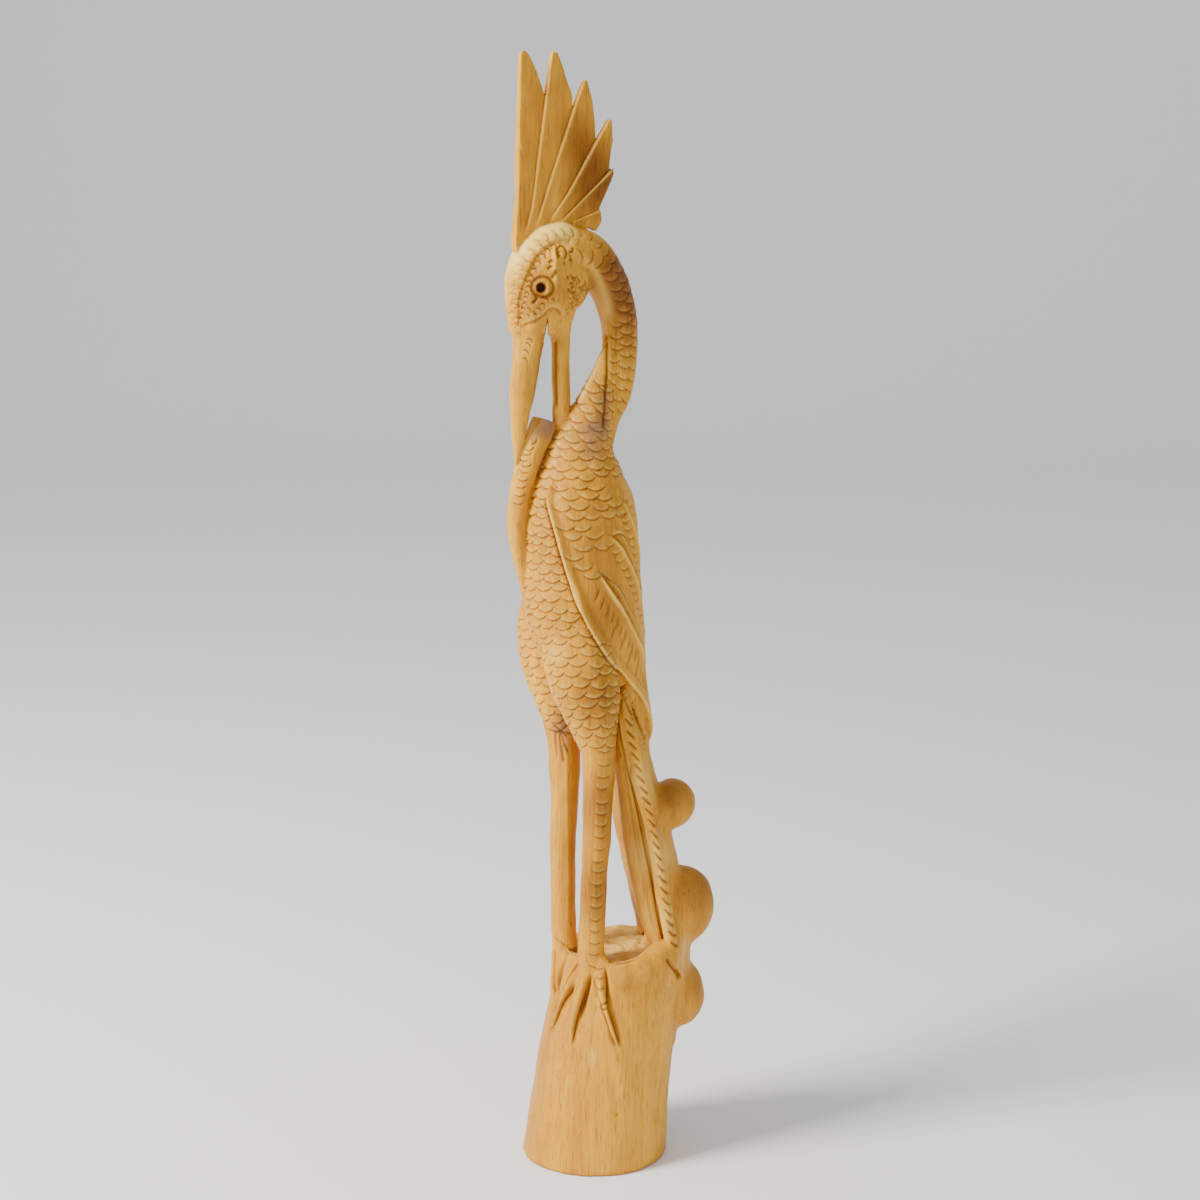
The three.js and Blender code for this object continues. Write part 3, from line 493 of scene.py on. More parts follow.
def wing_rings(steps=6, samples=40):
    """Rings of the near wing: its outer face, the ridge along its leading edge and its inner face."""
    rings = []
    for row in curve(WING_ROWS, steps):
        lead, trail, wide = row[4:7]
        ridge = min(lead - trail - 2, math.degrees(wide / row[3]))
        foot = lead - ridge - min(RIDGE_SLOPE, (lead - ridge - trail) / 2)
        turns = [*np.linspace(trail, foot, samples), lead - ridge, lead]
        outs = [0] * samples + [RIB_RISE, RIB_RISE]
        turns += [*np.linspace(lead, trail, samples // 2)]
        outs += [-WING_THICK] * (samples // 2)
        rings.append(on_wing(np.tile(row[:4], (len(turns), 1)), np.array(turns), np.array(outs)))
    return np.array(rings)


def rib_rings(points):
    """Rings of a rib on the wing, which sinks into it at both ends."""
    dense = curve(points, 8)
    share = np.linspace(0, 1, len(dense))
    ends = smoothstep(np.minimum(share, 1 - share) / RIB_RUN_OUT)
    half = RIB_WIDE / 2
    line = on_wing(row_at(WING_ROWS, dense[:, 1]), dense[:, 0], RIB_RISE * ends - half)
    return limb(np.hstack([line, np.full((len(line), 2), half)]), BODY_LEFT, steps=1, sides=12)


def on_log(turn, z, sunk=0.0):
    """The point on the log's flank at degrees round from straight in front."""
    x, y, _, wide, deep = row_at(LOG_ROWS, z)
    angle = math.radians(turn)
    return np.array([x - (wide - sunk) * math.sin(angle), y - (deep - sunk) * math.cos(angle), z])


def toe_rings(rows):
    return limb([[*on_log(turn, z, sunk), half, half] for turn, z, half, sunk in rows], FRONT, sides=16)


def crest_rings(rows, steps=6):
    """Rings of a crest feather, which thins towards its tip and whose left edge stands proud."""
    count = len(rows)
    where = np.linspace(0, count - 1, (count - 1) * steps + 1)
    dense = between(where, np.arange(count), np.array(rows, float))
    rings = []
    for x_left, z_left, x_right, z_right in dense:
        share = min(1, max(0, (z_left - CREST_FOOT) / (HEIGHT - CREST_FOOT)))
        half = CREST_ROOT + (CREST_TIP - CREST_ROOT) * share
        left, right = in_head(x_left, z_left), in_head(x_right, z_right)
        proud, low = HEAD_LEFT * (half + CREST_STEP / 2), HEAD_LEFT * (half - CREST_STEP / 2)
        rings.append([right - low, left - proud, left + proud, right + low])
    return np.array(rings)


def eye_rings(profile):
    """Rings of a turned form on the near eye's axis; a profile point is radius and height."""
    axis = np.array([math.sin(EYE_TURN), -math.cos(EYE_TURN), 0.0])
    angle = circle(32)[:, None]
    spoke = np.cos(angle) * np.cross(axis, UP) + np.sin(angle) * UP
    place = in_head(EYE_X, EYE_Z) + HEAD_LEFT * EYE_OUT
    return np.array([place + axis * height + spoke * max(radius, POLE) for radius, height in profile])


# The distance field
class Field:
    """Signed distances in millimetres on a grid around the object; forms are joined into it."""

    def __init__(self, low, high):
        self.low = np.floor(np.array(low) / VOXEL).astype(int)
        size = np.ceil(np.array(high) / VOXEL).astype(int) - self.low + 1
        self.far = VOXEL * BAND_VOXELS
        self.values = np.full(size, self.far, np.float32)
        self.transform = openvdb.createLinearTransform(voxelSize=VOXEL)
        self.kept = {}

    def of(self, rings):
        """The distances of one closed form, with the corner of their grid."""
        count, sides = rings.shape[:2]
        points = np.vstack([rings.reshape(-1, 3), rings[0].mean(0), rings[-1].mean(0)])
        first = np.arange(count * sides).reshape(count, sides)
        after = np.roll(first, -1, axis=1)
        quads = np.stack([first[:-1], after[:-1], after[1:], first[1:]], axis=-1).reshape(-1, 4)
        start, end = (np.full(sides, count * sides + k) for k in range(2))
        caps = np.vstack([np.stack([start, after[0], first[0]], 1), np.stack([end, first[-1], after[-1]], 1)])
        grid = openvdb.FloatGrid.createLevelSetFromPolygons(
            points.astype(np.float32), triangles=caps.astype(np.uint32),
            quads=quads.astype(np.uint32), transform=self.transform, halfWidth=BAND_VOXELS)
        low, high = (np.array(corner) for corner in grid.evalActiveVoxelBoundingBox())
        low = np.maximum(low, self.low)
        high = np.minimum(high, self.low + self.values.shape - 1)
        values = np.empty(high - low + 1, np.float32)
        grid.copyToArray(values, ijk=tuple(int(v) for v in low))
        return low, values

    def window(self, low, shape):
        return tuple(slice(s, s + n) for s, n in zip(low - self.low, shape))

    def join(self, label, rings, fillet=0.0):
        """Add a form, with a fillet where it meets what is there, and keep it under its label."""
        low, values = self.of(rings)
        here = self.window(low, values.shape)
        old = self.values[here]
        joined = np.minimum(old, values)
        if fillet:
            near = np.maximum(fillet - np.abs(old - values), 0) / fillet
            near[joined > FILLET_BAND * self.far] = 0
            joined = joined - near * near * fillet / 4
        self.values[here] = joined
        self.kept.setdefault(label, []).append((low, values))

    def cut(self, rings):
        low, values = self.of(rings)
        here = self.window(low, values.shape)
        self.values[here] = np.maximum(self.values[here], -values)

    def near(self, label, points):
        """Distances of points to a kept form, in millimetres."""
        result = np.full(len(points), self.far, np.float32)
        for low, values in self.kept[label]:
            index = np.round(points / VOXEL).astype(int) - low
            inside = np.all((index >= 0) & (index < values.shape), axis=1)
            x, y, z = index[inside].T
            result[inside] = np.minimum(result[inside], values[x, y, z])
        return result

    def surface(self):
        grid = openvdb.FloatGrid(self.far)
        grid.transform = self.transform
        grid.copyFromArray(self.values, ijk=tuple(int(v) for v in self.low), tolerance=0)
        points, _, quads = grid.convertToPolygons(isovalue=0, adaptivity=0)
        return points.astype(float), quads.astype(np.int64)


def build_field():
    """All forms of the carving, each joined to the ones before it."""
    low, high = (np.array(corner) / MM for corner in CAD_BOX)
    margin = VOXEL * BAND_VOXELS
    field = Field(low - margin, high + margin)
    field.join("log", limb(LOG_ROWS, FRONT, sides=64, level=True))
    field.join("burl", limb(COLUMN_ROWS, FRONT), 4)
    field.join("burl", limb(RIM_ROWS, UP), 4)
    for place in LOBES:
        field.join("burl", lobe(*place), 3)
    trunk = [[x, y, z, half * LONG_OVAL, half * SHORT_OVAL] for x, y, z, half in BODY_ROWS]
    field.join("body", limb(trunk, BODY_LEFT, sides=64))
    rump = limb(RUMP_ROWS, BODY_LEFT)
    field.join("rump", rump, 2)
    field.join("rump", mirrored(rump), 2)
    field.join("near_leg", limb(NEAR_LEG_ROWS, FRONT), 2)
    field.join("near_thigh", limb(NEAR_THIGH_ROWS, FRONT), 3)
    field.join("far_leg", limb(FAR_LEG_ROWS, FRONT), 2)
    wing = wing_rings()
    field.join("near_wing", wing, 0.4)
    field.join("far_wing", mirrored(wing), 0.4)
    for rib in RIBS:
        field.join("near_wing", rib_rings(rib), 0.8)
    for toe in TOES:
        field.join("toes", toe_rings(toe), 1)
    field.join("rear_feather", limb(REAR_FEATHER_ROWS, FRONT), 1)
    field.join("plain_feather", limb(PLAIN_FEATHER_ROWS, FRONT), 0.5)
    field.join("barbed_feather", limb(BARBED_FEATHER_ROWS, FRONT), 0.5)
    field.join("neck", head_limb(NECK_ROWS), 0.8)
    field.join("head", head_limb(HEAD_ROWS), 2)
    field.join("head", head_limb(JAW_ROWS), 2)
    field.join("bill", head_limb(UPPER_BILL_ROWS), 0.6)
    field.join("bill", head_limb(LOWER_BILL_ROWS), 0.6)
    field.join("eel", limb(EEL_ROWS, FRONT), 0.6)
    field.cut(np.array([[in_head(x, z) + y * FRONT for x, z in MOUTH_CUT] for y in (HEAD_DEEP, -HEAD_DEEP)]))
    for feather in CREST:
        field.join("crest", crest_rings(feather), 0.2)
    dish = EYE_RING - EYE_RIM
    ring = eye_rings([(0, -3), (EYE_RING, -3), (EYE_RING, 0), (dish, EYE_PROUD), (0, EYE_PROUD)])
    bore = eye_rings([(0, -EYE_DEPTH), (EYE_PUPIL, -EYE_DEPTH), (EYE_PUPIL, -EYE_PROUD / 2),
                      (dish, EYE_PROUD * 0.9), (dish, 3), (0, 3)])
    for form in (ring, mirrored(ring, HEAD_LEFT)):
        field.join("eye", form, 0.4)
    for form in (bore, mirrored(bore, HEAD_LEFT)):
        field.cut(form)
    return field


# The relief, cut into the surface's points
def vertex_normals(points, quads):
    corner = points[quads]
    face = np.cross(corner[:, 2] - corner[:, 0], corner[:, 3] - corner[:, 1])
    total = np.zeros_like(points)
    for k in range(4):
        for axis in range(3):
            total[:, axis] += np.bincount(quads[:, k], face[:, axis], len(points))
    return unit(total)


def relaxed(points, quads, rounds):
    """The points after some rounds of smoothing over their neighbours."""
    pairs = np.vstack([quads[:, [k, (k + 1) % 4]] for k in range(4)])
    a, b = np.concatenate([pairs[:, 0], pairs[:, 1]]), np.concatenate([pairs[:, 1], pairs[:, 0]])
    count = np.bincount(a, minlength=len(points))
    for _ in range(rounds):
        mean = np.stack([np.bincount(a, points[b, axis], len(points)) for axis in range(3)], 1)
        points = 0.5 * points + 0.5 * mean / count[:, None]
    return points


def flat(vectors, view):
    """Vectors as they look along a level direction, or as they are if there is none."""
    return vectors if view is None else vectors - (vectors @ view)[..., None] * view


class Line(NamedTuple):
    """A line to cut along, the level direction it is laid on from, and if the far side has it too."""
    points: np.ndarray
    view: np.ndarray = None
    both: bool = False


def in_front(x, z):
    """A place as seen from the front, where its depth makes no difference."""
    return np.array([x, 0.0, z])


def front_line(points, steps=6):
    return Line(np.array([in_front(x, z) for x, z in curve(points, steps)]), FRONT)


def head_line(points, steps=6):
    return Line(np.array([in_head(x, z) for x, z in curve(points, steps)]), HEAD_LEFT, both=True)


def log_line(points):
    """A line on the log's flank, laid on from the way that the log faces under its middle."""
    turn = math.radians(np.mean([turn for turn, _ in points]))
    places = np.array([on_log(turn, z) for turn, z in curve(points)])
    return Line(places, np.array([-math.sin(turn), -math.cos(turn), 0.0]))


class Relief:
    """Heights to add along the normals, and each point's painted shade, painted edge highlight, stain, tone
    and shading, and paler colour.
    """

    def __init__(self, points, normals, labels, names):
        self.points, self.normals, self.labels, self.names = points, normals, labels, names
        self.height, self.hollow, self.edge_highlight = (np.zeros(len(points)) for _ in range(3))
        self.stain, self.tone, self.light = (np.zeros(len(points)) for _ in range(3))
        self.order = np.argsort(points[:, 2])
        self.sorted_z = points[self.order, 2]

    def around(self, place, reach, parts, view=None):
        """Indices of the points of some parts within reach of a place, and their offsets from it."""
        low, high = np.searchsorted(self.sorted_z, [place[2] - reach, place[2] + reach])
        index = self.order[low:high]
        wanted = np.array([name in parts for name in self.names])
        index = index[wanted[self.labels[index]]]
        off = flat(self.points[index] - place, view)
        near = (off * off).sum(1) < reach * reach
        return index[near], off[near]

    # Painted shade: how dark a point is in a cut, pit or hollow.
    def paint_shade(self, index, amount):
        self.hollow[index] = np.maximum(self.hollow[index], amount)

    # Painted highlight on lit edges, lips and ridges.
    def paint_highlight(self, index, amount):
        self.edge_highlight[index] = np.maximum(self.edge_highlight[index], amount)

    # Paler colour, mostly painted highlight along lines.
    def lighten(self, index, amount):
        self.light[index] = np.maximum(self.light[index], amount)

    def crescent(self, place, tip, out, wide, parts, sag=0.27, deep=0.55, ramp=1.1, dark=1.0, pale=0.8):
        """A gouge's cut that leaves a crisp arc, with its lowest point at the place, painted shade just past
        the arc and a painted highlight on its lip.
        """
        index, off = self.around(place, 0.6 * wide + 2 * ramp, parts)
        front = self.normals[index] @ out > LEAST_FACING
        index, off = index[front], off[front]
        across = off @ np.cross(out, tip) * 2 / wide
        past = off @ tip + sag * wide * across * across
        fade = smoothstep((ARC_END - np.abs(across)) / ARC_FADE)
        lip = smoothstep(past / LIP_SOFT + 0.5)
        drop = lip * np.exp(-np.maximum(past, 0) / ramp)
        rise = (1 - lip) * np.exp(np.minimum(past, 0) / ramp)
        self.height[index] += fade * (LIP_RISE * deep * rise - deep * drop)
        self.paint_shade(index, dark * fade * bell(past - 0.3, 0.36))
        self.paint_highlight(index, pale * dark * fade * bell(past + 0.36, 0.28))

    def bow(self, place, tip, view, wide, parts, **cut):
        """A crescent where a place shows against `view`, its tip turned as seen from there."""
        index, _ = self.around(place, 2 * VOXEL, parts, view)
        index = index[self.normals[index] @ view > LEAST_FACING]
        if len(index):
            found = index[np.argmax(self.points[index] @ view)]
            out = self.normals[found]
            self.crescent(self.points[found], unit(tip - (tip @ out) * out), out, wide, parts, **cut)

    def beside(self, line, reach, parts, taper):
        """Points near a line, their distances from it, below zero on its right, and its fade at the ends."""
        gap = np.full(len(self.points), np.inf)
        side, place = np.zeros(len(gap)), np.zeros(len(gap))
        done = 0.0
        for start, end in zip(line.points[:-1], line.points[1:]):
            step = flat(end - start, line.view)
            length = max(float(np.linalg.norm(step)), 1e-6)
            index, off = self.around((start + end) / 2, length / 2 + reach, parts, line.view)
            off = off + step / 2
            share = np.clip(off @ step / length ** 2, 0, 1)
            away = off - share[:, None] * step
            distance = np.linalg.norm(away, axis=1)
            closer = distance < gap[index]
            index, share, away, distance = index[closer], share[closer], away[closer], distance[closer]
            out = self.normals[index] if line.view is None else line.view
            gap[index] = distance
            side[index] = np.sign((np.cross(step, away) * out).sum(-1))
            place[index] = done + share * length
            done += length
        index = np.flatnonzero(gap < reach)
        if line.view is not None:
            facing = self.normals[index] @ line.view
            index = index[(np.abs(facing) if line.both else facing) > LEAST_FACING]
        from_end = np.minimum(place, done - place)[index]
        return index, gap[index] * side[index], smoothstep(from_end / taper) if taper else 1.0

    def groove(self, line, wide, deep, parts, dark=1.0, taper=1.5):
        """A groove along a line with painted shade in it, or a ridge with a painted highlight if `deep` is
        below zero.
        """
        index, away, ends = self.beside(line, 2.2 * wide, parts, taper)
        fall = ends * bell(away, wide)
        self.height[index] -= deep * fall
        (self.paint_shade if deep > 0 else self.paint_highlight)(index, dark * fall)

    def ledge(self, line, deep, soft, parts, dark=1.0, taper=3.0):
        """A step down to the left of a line, which runs out over `soft`, with painted shade below the step
        and a painted highlight along its top.
        """
        index, away, ends = self.beside(line, 2.5 * soft, parts, taper)
        self.height[index] -= deep * ends * smoothstep(away / EDGE + 0.5) * bell(np.maximum(away, 0), soft)
        self.paint_shade(index, dark * ends * bell(away - 0.3, 0.45))
        self.paint_highlight(index, dark * ends * bell(away + 0.6, 0.5))

    def paint(self, line, wide, amount, parts, taper=4.0):
        """Pale colour along a line: a painted highlight on an edge or ridge."""
        index, away, ends = self.beside(line, 2.2 * wide, parts, taper)
        self.lighten(index, amount * ends * bell(away, wide))

    # Pits, with painted shade in them.
    def pits(self, places, size, deep, parts, view=None):
        for place in places:
            index, off = self.around(place, 2 * size, parts, view)
            fall = np.exp(-(off * off).sum(1) / (size * size))
            if view is not None:
                fall = fall * (self.normals[index] @ view > LEAST_FACING)
            self.height[index] -= deep * fall
            self.paint_shade(index, 0.8 * fall)

    def tint(self, values, place, reach, amount, spared=()):
        """Add a spot that fades towards its edge to the stain or to the tone and shading, but not on spared
        parts.
        """
        index, off = self.around(place, reach, set(self.names) - set(spared))
        values[index] += amount * (1 - smoothstep(np.linalg.norm(off, axis=1) / reach))


# Scales
def surface_frame(point_at, z, turn, hand=1):
    """A place on a form, the direction of a scale's tip there and the outward direction."""
    place = point_at(z, turn)
    across = point_at(z, turn + 2) - point_at(z, turn - 2)
    down = unit(point_at(z - 1.5, turn) - point_at(z + 1.5, turn))
    out = hand * unit(np.cross(across, down))
    return place, down, out


def cut_scales(relief, random, point_at, rows, scales, parts, skip=None, hand=1):
    """Rows of staggered scales on a form, on both sides of the turn that faces out."""
    heights, turns, wide = scales
    for k, z in enumerate(np.arange(*heights)):
        step = math.degrees(SCALE_SPACING * wide / max(LEAST_GIRTH, float(row_at(rows, z)[3])))
        first = 90 + (k % 2) * step / 2
        count = int(math.ceil((turns[1] - turns[0]) / step)) + 2
        for i in range(-count, count + 1):
            turn = first + i * step
            if not turns[0] <= turn <= turns[1] or (skip and skip(turn, z)):
                continue
            higher, further, wider = random.normal(0, 1, 3) * SCALE_JITTER
            place, down, out = surface_frame(point_at, z + higher, turn + further, hand)
            relief.crescent(place, down, out, wide * (1 + wider), parts)


def limb_point(rows):
    """Places on a nearly upright limb, by height and degrees round from its right towards the front."""
    def point_at(z, turn):
        x, y, _, wide, deep = row_at(rows, z)
        angle = math.radians(turn)
        return np.array([x + wide * math.cos(angle), y - deep * math.sin(angle), z])
    return point_at


def body_point(z, turn):
    return on_wing(row_at(BODY_ROWS, z), np.float64(turn), 0.0)


def rib_turn(rib, z):
    """Degrees round the wing where a rib crosses a height; its line runs on straight past its ends."""
    turn, height = np.array(rib, float)[::-1].T
    slope = (turn[-1] - turn[0]) / (height[-1] - height[0])
    inside = np.interp(z, height, turn)
    return inside + slope * (max(z - height[-1], 0) + min(z - height[0], 0))


def lead_at(z):
    return float(row_at(WING_ROWS, z)[4])


def off_coverts(turn, z):
    """True on the wing where no broad scales are: its ridge, smooth vane and ribbed feathers."""
    lowest = RIBS[0]
    if turn > lead_at(z) - 7 or (z < lowest[0][1] - 9 and turn > rib_turn(lowest, z) - 4):
        return True
    return any(z < rib[0][1] + 6 and turn < rib_turn(rib, z) + 6 for rib in RIBS)


def under_tip(turn, z):
    """True on the body where the near wing's tip and the tail cover it."""
    return z < 240 and -20 < turn < 80


def carve_body(relief, random):
    cut_scales(relief, random, body_point, BODY_ROWS, BODY_SCALES, ["body", "rump"], under_tip)
    for rows, scales, parts in ((NEAR_THIGH_ROWS, NEAR_THIGH_SCALES, ["near_thigh", "near_leg"]),
                                (FAR_LEG_ROWS, FAR_LEG_SCALES, ["far_leg"])):
        cut_scales(relief, random, limb_point(rows), rows, scales, parts)


def carve_wing(relief, random, parts, beneath, far=False):
    """A wing's coverts, ribs, small scales, barbs and ridge; the far wing is the near one mirrored."""
    hand = -1 if far else 1
    view = FRONT - 2 * (FRONT @ BODY_LEFT) * BODY_LEFT if far else FRONT

    def placed(points):
        return mirrored(points) if far else points

    def point_at(z, turn):
        return placed(on_wing(row_at(WING_ROWS, z)[:4], np.float64(turn), 0.0)[None])[0]

    def lay(points, out=0.0):
        turn, z = np.array(points, float).T
        return Line(placed(on_wing(row_at(WING_ROWS, z), turn, out)))

    cut_scales(relief, random, point_at, WING_ROWS, WING_SCALES, parts, off_coverts, hand)
    for rib in RIBS:
        line = curve(rib)
        share = np.linspace(0, 1, len(line))
        twin = line + np.stack([np.zeros(len(line)), RIB_GAP * smoothstep(share / 0.35)], 1)
        relief.groove(lay(line, RIB_RISE), 0.5, -0.3, parts, taper=4)
        relief.paint(lay(line, RIB_RISE), 0.5, 0.6, parts)
        relief.groove(lay(twin), 0.6, -TWIN_RISE, parts, taper=9)
        relief.paint(lay(twin, TWIN_RISE), 0.6, 0.6, parts, taper=9)
        for edge in (line, twin):
            relief.groove(lay(edge - [2.4, 1.4]), 0.5, 0.6, parts, taper=4)
        middle = lay(0.5 * (line + twin))
        relief.groove(middle, 1.0, 0.6, parts, dark=0.5, taper=4)
        crumbs, _ = spaced(middle.points, 1.3)
        relief.pits(crumbs + random.normal(0, 0.5, crumbs.shape), 0.5, 0.3, parts)
    for k, low, high, lag, wide in RIB_SCALES:
        rib = RIBS[k]
        for z in np.arange(rib[-1][1] + low, rib[0][1] + high, 3.8):
            place, down, out = surface_frame(point_at, z, max(rib_turn(rib, z) + lag, 10), hand)
            relief.crescent(place, down, out, wide, parts, sag=0.24, deep=0.5, ramp=0.9)
    for k, (turn, z) in enumerate(curve(RIBS[0], 12)[6::3]):
        for lag, stroke in enumerate(VANE_STROKES):
            stroke = np.array(stroke, float) + [turn, z]
            on_vane = stroke[-1][0] < lead_at(stroke[-1][1]) - 9
            if on_vane and not (lag and (k % 2 or turn > 88)):
                relief.groove(lay(curve(stroke, 4)), 0.5, 0.4, parts, dark=0.85, taper=3)
    rows = curve(WING_ROWS, 4)
    lead = rows[:, [4, 2]]
    inner = lead - np.stack([np.degrees(rows[:, 6] / row_at(WING_ROWS, lead[:, 1])[:, 3]) + 5.5,
                             np.zeros(len(lead))], 1)
    relief.groove(lay(inner[4:-6]), 1.6, 0.25, parts, dark=0.05)
    turn, z = lead[6:-2].T
    edge = on_wing(row_at(WING_ROWS, z), turn, RIB_RISE)
    relief.groove(Line(placed(edge - [0.8, 0, 0]), view), 0.45, 0.8, ["body", "rump", *beneath], taper=6)
    ridge = Line(placed(edge + [0.3, 0, 0]), view)
    relief.groove(ridge, 0.5, -0.3, [*parts, *beneath], taper=6)
    relief.paint(ridge, 0.45, 0.7, [*parts, *beneath], taper=6)


# Legs, toes, log and tail
def carve_legs(relief, random):
    for z in np.arange(SCUTE_TOP, LOG_TOP - 3, -SCUTE_PITCH):
        share = (SCUTE_TOP - z) / (SCUTE_TOP - LOG_TOP)
        x, _, _, wide, _ = row_at(NEAR_LEG_ROWS, z)
        place = in_front(x + SCUTE_SHIFT * wide, z + random.normal(0, 0.2))
        relief.bow(place, -UP, FRONT, 6.6 - 0.8 * share, ["near_leg", "near_thigh"], sag=0.2, deep=0.6,
                   ramp=1.2, pale=0.3)
    for x, z in TOE_SCUTES:
        relief.bow(in_front(x, z), -UP, FRONT, 4.8, ["near_leg", "toes", "log"], sag=0.2, deep=0.5, pale=0.2)
    relief.groove(front_line(NEAR_LEG_EDGE, 1), 0.5, 0.15, ["near_leg"], dark=0.2, taper=10)
    for line, wide, deep, dark, taper in FAR_LEG_LINES:
        relief.groove(front_line(line), wide, deep, ["far_leg"], dark=dark, taper=taper)
    relief.ledge(front_line(FAR_LEG_HEM), 0.8, 2.5, ["far_leg"])
    for k in range(WRINKLES):
        wrinkle = front_line(WRINKLE + k * WRINKLE_STEP)
        relief.groove(wrinkle, 0.45, 0.35, ["far_leg", "log", "toes"], dark=0.6)


def carve_log(relief, random):
    parts = ["log", "toes", "near_leg", "far_leg", "burl", "barbed_feather"]
    for line, wide, deep in TOE_CUTS:
        relief.groove(log_line(line), wide, deep, parts, dark=0.25, taper=7)
        relief.groove(log_line(line), 0.42, 0.7, parts, taper=4)
    for line in TOE_RIDGES:
        relief.groove(log_line(line), 1.2, -0.8, parts, dark=0.12, taper=5)
    for place in JOINT_CUTS:
        relief.groove(log_line(place + JOINT_CUT), 0.5, 0.7, parts)
    relief.groove(log_line(JOINT_RING), 0.9, -0.4, parts, dark=0.05)
    relief.groove(log_line(INSTEP), 4.6, 1.4, parts, dark=0, taper=12)
    relief.groove(front_line(TAIL_SPLIT), 0.8, 1.8, parts)
    relief.groove(front_line(RIM_CRACK), 0.7, 1.4, ["log", "burl"], taper=4)
    relief.pits(spaced(curve(RIM_GASH), 0.7)[0], 1.1, 0.7, ["log", "burl", "near_leg"])
    relief.pits([on_log(*KNOT)], 0.9, 0.5, ["log"])
    for _ in range(TOP_CHIPS):
        turn, reach = random.uniform(0, 2 * math.pi), TOP_REACH * math.sqrt(random.uniform())
        place = np.array([TOP_MIDDLE + reach * math.cos(turn), reach * math.sin(turn), LOG_TOP])
        index, off = relief.around(place, CHIP_REACH, ["log"])
        on_top = relief.normals[index] @ UP > 0.5
        index, off = index[on_top], off[on_top]
        fall = np.exp(-(off ** 2).sum(1) / random.uniform(*CHIP_SIZES) ** 2)
        relief.height[index] -= random.uniform(*CHIP_DEPTHS) * fall
        # Darker chips get painted shade and paler ones a paler colour.
        shade = random.uniform(*CHIP_SHADES)
        relief.paint_shade(index, shade * fall)
        relief.lighten(index, -shade * fall)
    # Painted shade, darker towards the log's bottom edge.
    under = np.flatnonzero(relief.points[:, 2] < BOTTOM_EDGE)
    relief.paint_shade(under, 0.9 * (1 - relief.points[under, 2] / BOTTOM_EDGE))


def carve_tail(relief, random):
    parts = ["barbed_feather", "plain_feather", "near_wing", "rump", "rear_feather"]
    shaft = curve(TAIL_SHAFT)
    relief.groove(front_line(shaft, 1), 0.7, -0.7, parts, dark=0.8, taper=6)
    relief.groove(front_line(shaft - [1.5, 0], 1), 0.55, 0.9, parts, dark=0.8, taper=4)
    for place in spaced(shaft, BARB_PITCH, 5)[0]:
        relief.groove(front_line(place + BARB, 4), 0.55, 0.95, parts)
    crevice = front_line(WING_CREVICE)
    relief.groove(crevice, 0.6, 0.9, parts, dark=0.8, taper=3)
    crumbs, _ = spaced(crevice.points, 1.1)
    relief.pits(crumbs + random.normal(0, 0.6, crumbs.shape) * [1, 0, 1], 0.6, 0.5, parts, FRONT)
    for line, wide, deep in TAIL_LINES:
        relief.groove(front_line(line), wide, deep, parts, dark=0.35, taper=5)


# Head, neck and bill
def head_tip(turn):
    """The direction of a cut's tip in the head's middle plane, in degrees up from the bird's back."""
    angle = math.radians(turn)
    return np.array([math.cos(HEAD_TURN), math.sin(HEAD_TURN), 0.0]) * math.cos(angle) + UP * math.sin(angle)


def carve_face(relief, random):
    face = ["head", "neck", "eye"]
    relief.ledge(head_line(FACE_BORDER), 0.9, 4.5, face, dark=0.1)
    for side in HEAD_SIDES:
        for x, z, wide in FACE_HOOKS:
            tip = head_tip(50 + 1.2 * (425 - z))
            relief.bow(in_head(x, z) + 0.6 * tip, tip, side, wide, face, sag=0.5, deep=0.95, ramp=0.8,
                       pale=0.35)
        for x, z, wide in CHEEK_TUFTS:
            relief.bow(in_head(x, z) + 0.4 * UP, head_tip(random.uniform(50, 80)), side, wide, face,
                       sag=0.4, deep=0.6, ramp=0.8, pale=0.2)
        chin, _ = spaced(head_line(CHIN).points, 1.5)
        relief.pits(chin + random.normal(0, 0.5, chin.shape), 0.8, 0.9, face)
        for _ in range(CHEEK_CUTS):
            x, z = random.uniform(CHEEK_LOW, CHEEK_HIGH)
            floor, roof = (start + climb * (x - CHEEK_LOW[0]) for start, climb in (CHEEK_FLOOR, CHEEK_ROOF))
            if floor <= z <= roof:
                relief.bow(in_head(x, z), head_tip(random.uniform(180, 360)), side, random.uniform(1.2, 1.9),
                           face, sag=0.35, deep=0.5, ramp=0.6, dark=0.9, pale=0.5)
    relief.ledge(head_line(MOUTH_LINE), 0.5, 2.5, [*face, "bill"], dark=0.9)
    angle = np.linspace(0, 2 * math.pi, 33)
    ring = np.stack([EYE_X + 0.3 + (EYE_RING + 0.3) * np.cos(angle),
                     EYE_Z + 0.2 + (EYE_RING + 0.6) * np.sin(angle)], 1)
    relief.groove(head_line(ring, 1), 0.6, 0.9, face, taper=0)
    for side in HEAD_SIDES:
        pupil = in_head(EYE_X, EYE_Z) + (EYE_OUT - EYE_DEPTH) * side
        relief.tint(relief.stain, pupil, EYE_DEPTH - 1, 1.8)
    for line in EYE_CORNERS:
        relief.groove(head_line(line), 0.7, 0.9, face, taper=1)
    relief.groove(head_line(BROW), 0.9, -0.8, face, dark=0.6, taper=4)
    for line in BROW_CURLS:
        relief.groove(head_line(line), 0.5, 0.8, face, taper=0.6)


def carve_bill(relief):
    for x, z in NOSTRIL_CUTS:
        for side in HEAD_SIDES:
            relief.bow(in_head(x, z), head_tip(60), side, 2.9, ["bill"], sag=0.35, deep=0.7, ramp=0.7)
    relief.groove(head_line(LOWER_BILL_GROOVE), 0.5, 0.8, ["bill"], dark=0.9, taper=3)
    relief.groove(head_line(UPPER_BILL_SHADE), 1.3, 0.2, ["bill"], dark=0.6, taper=5)


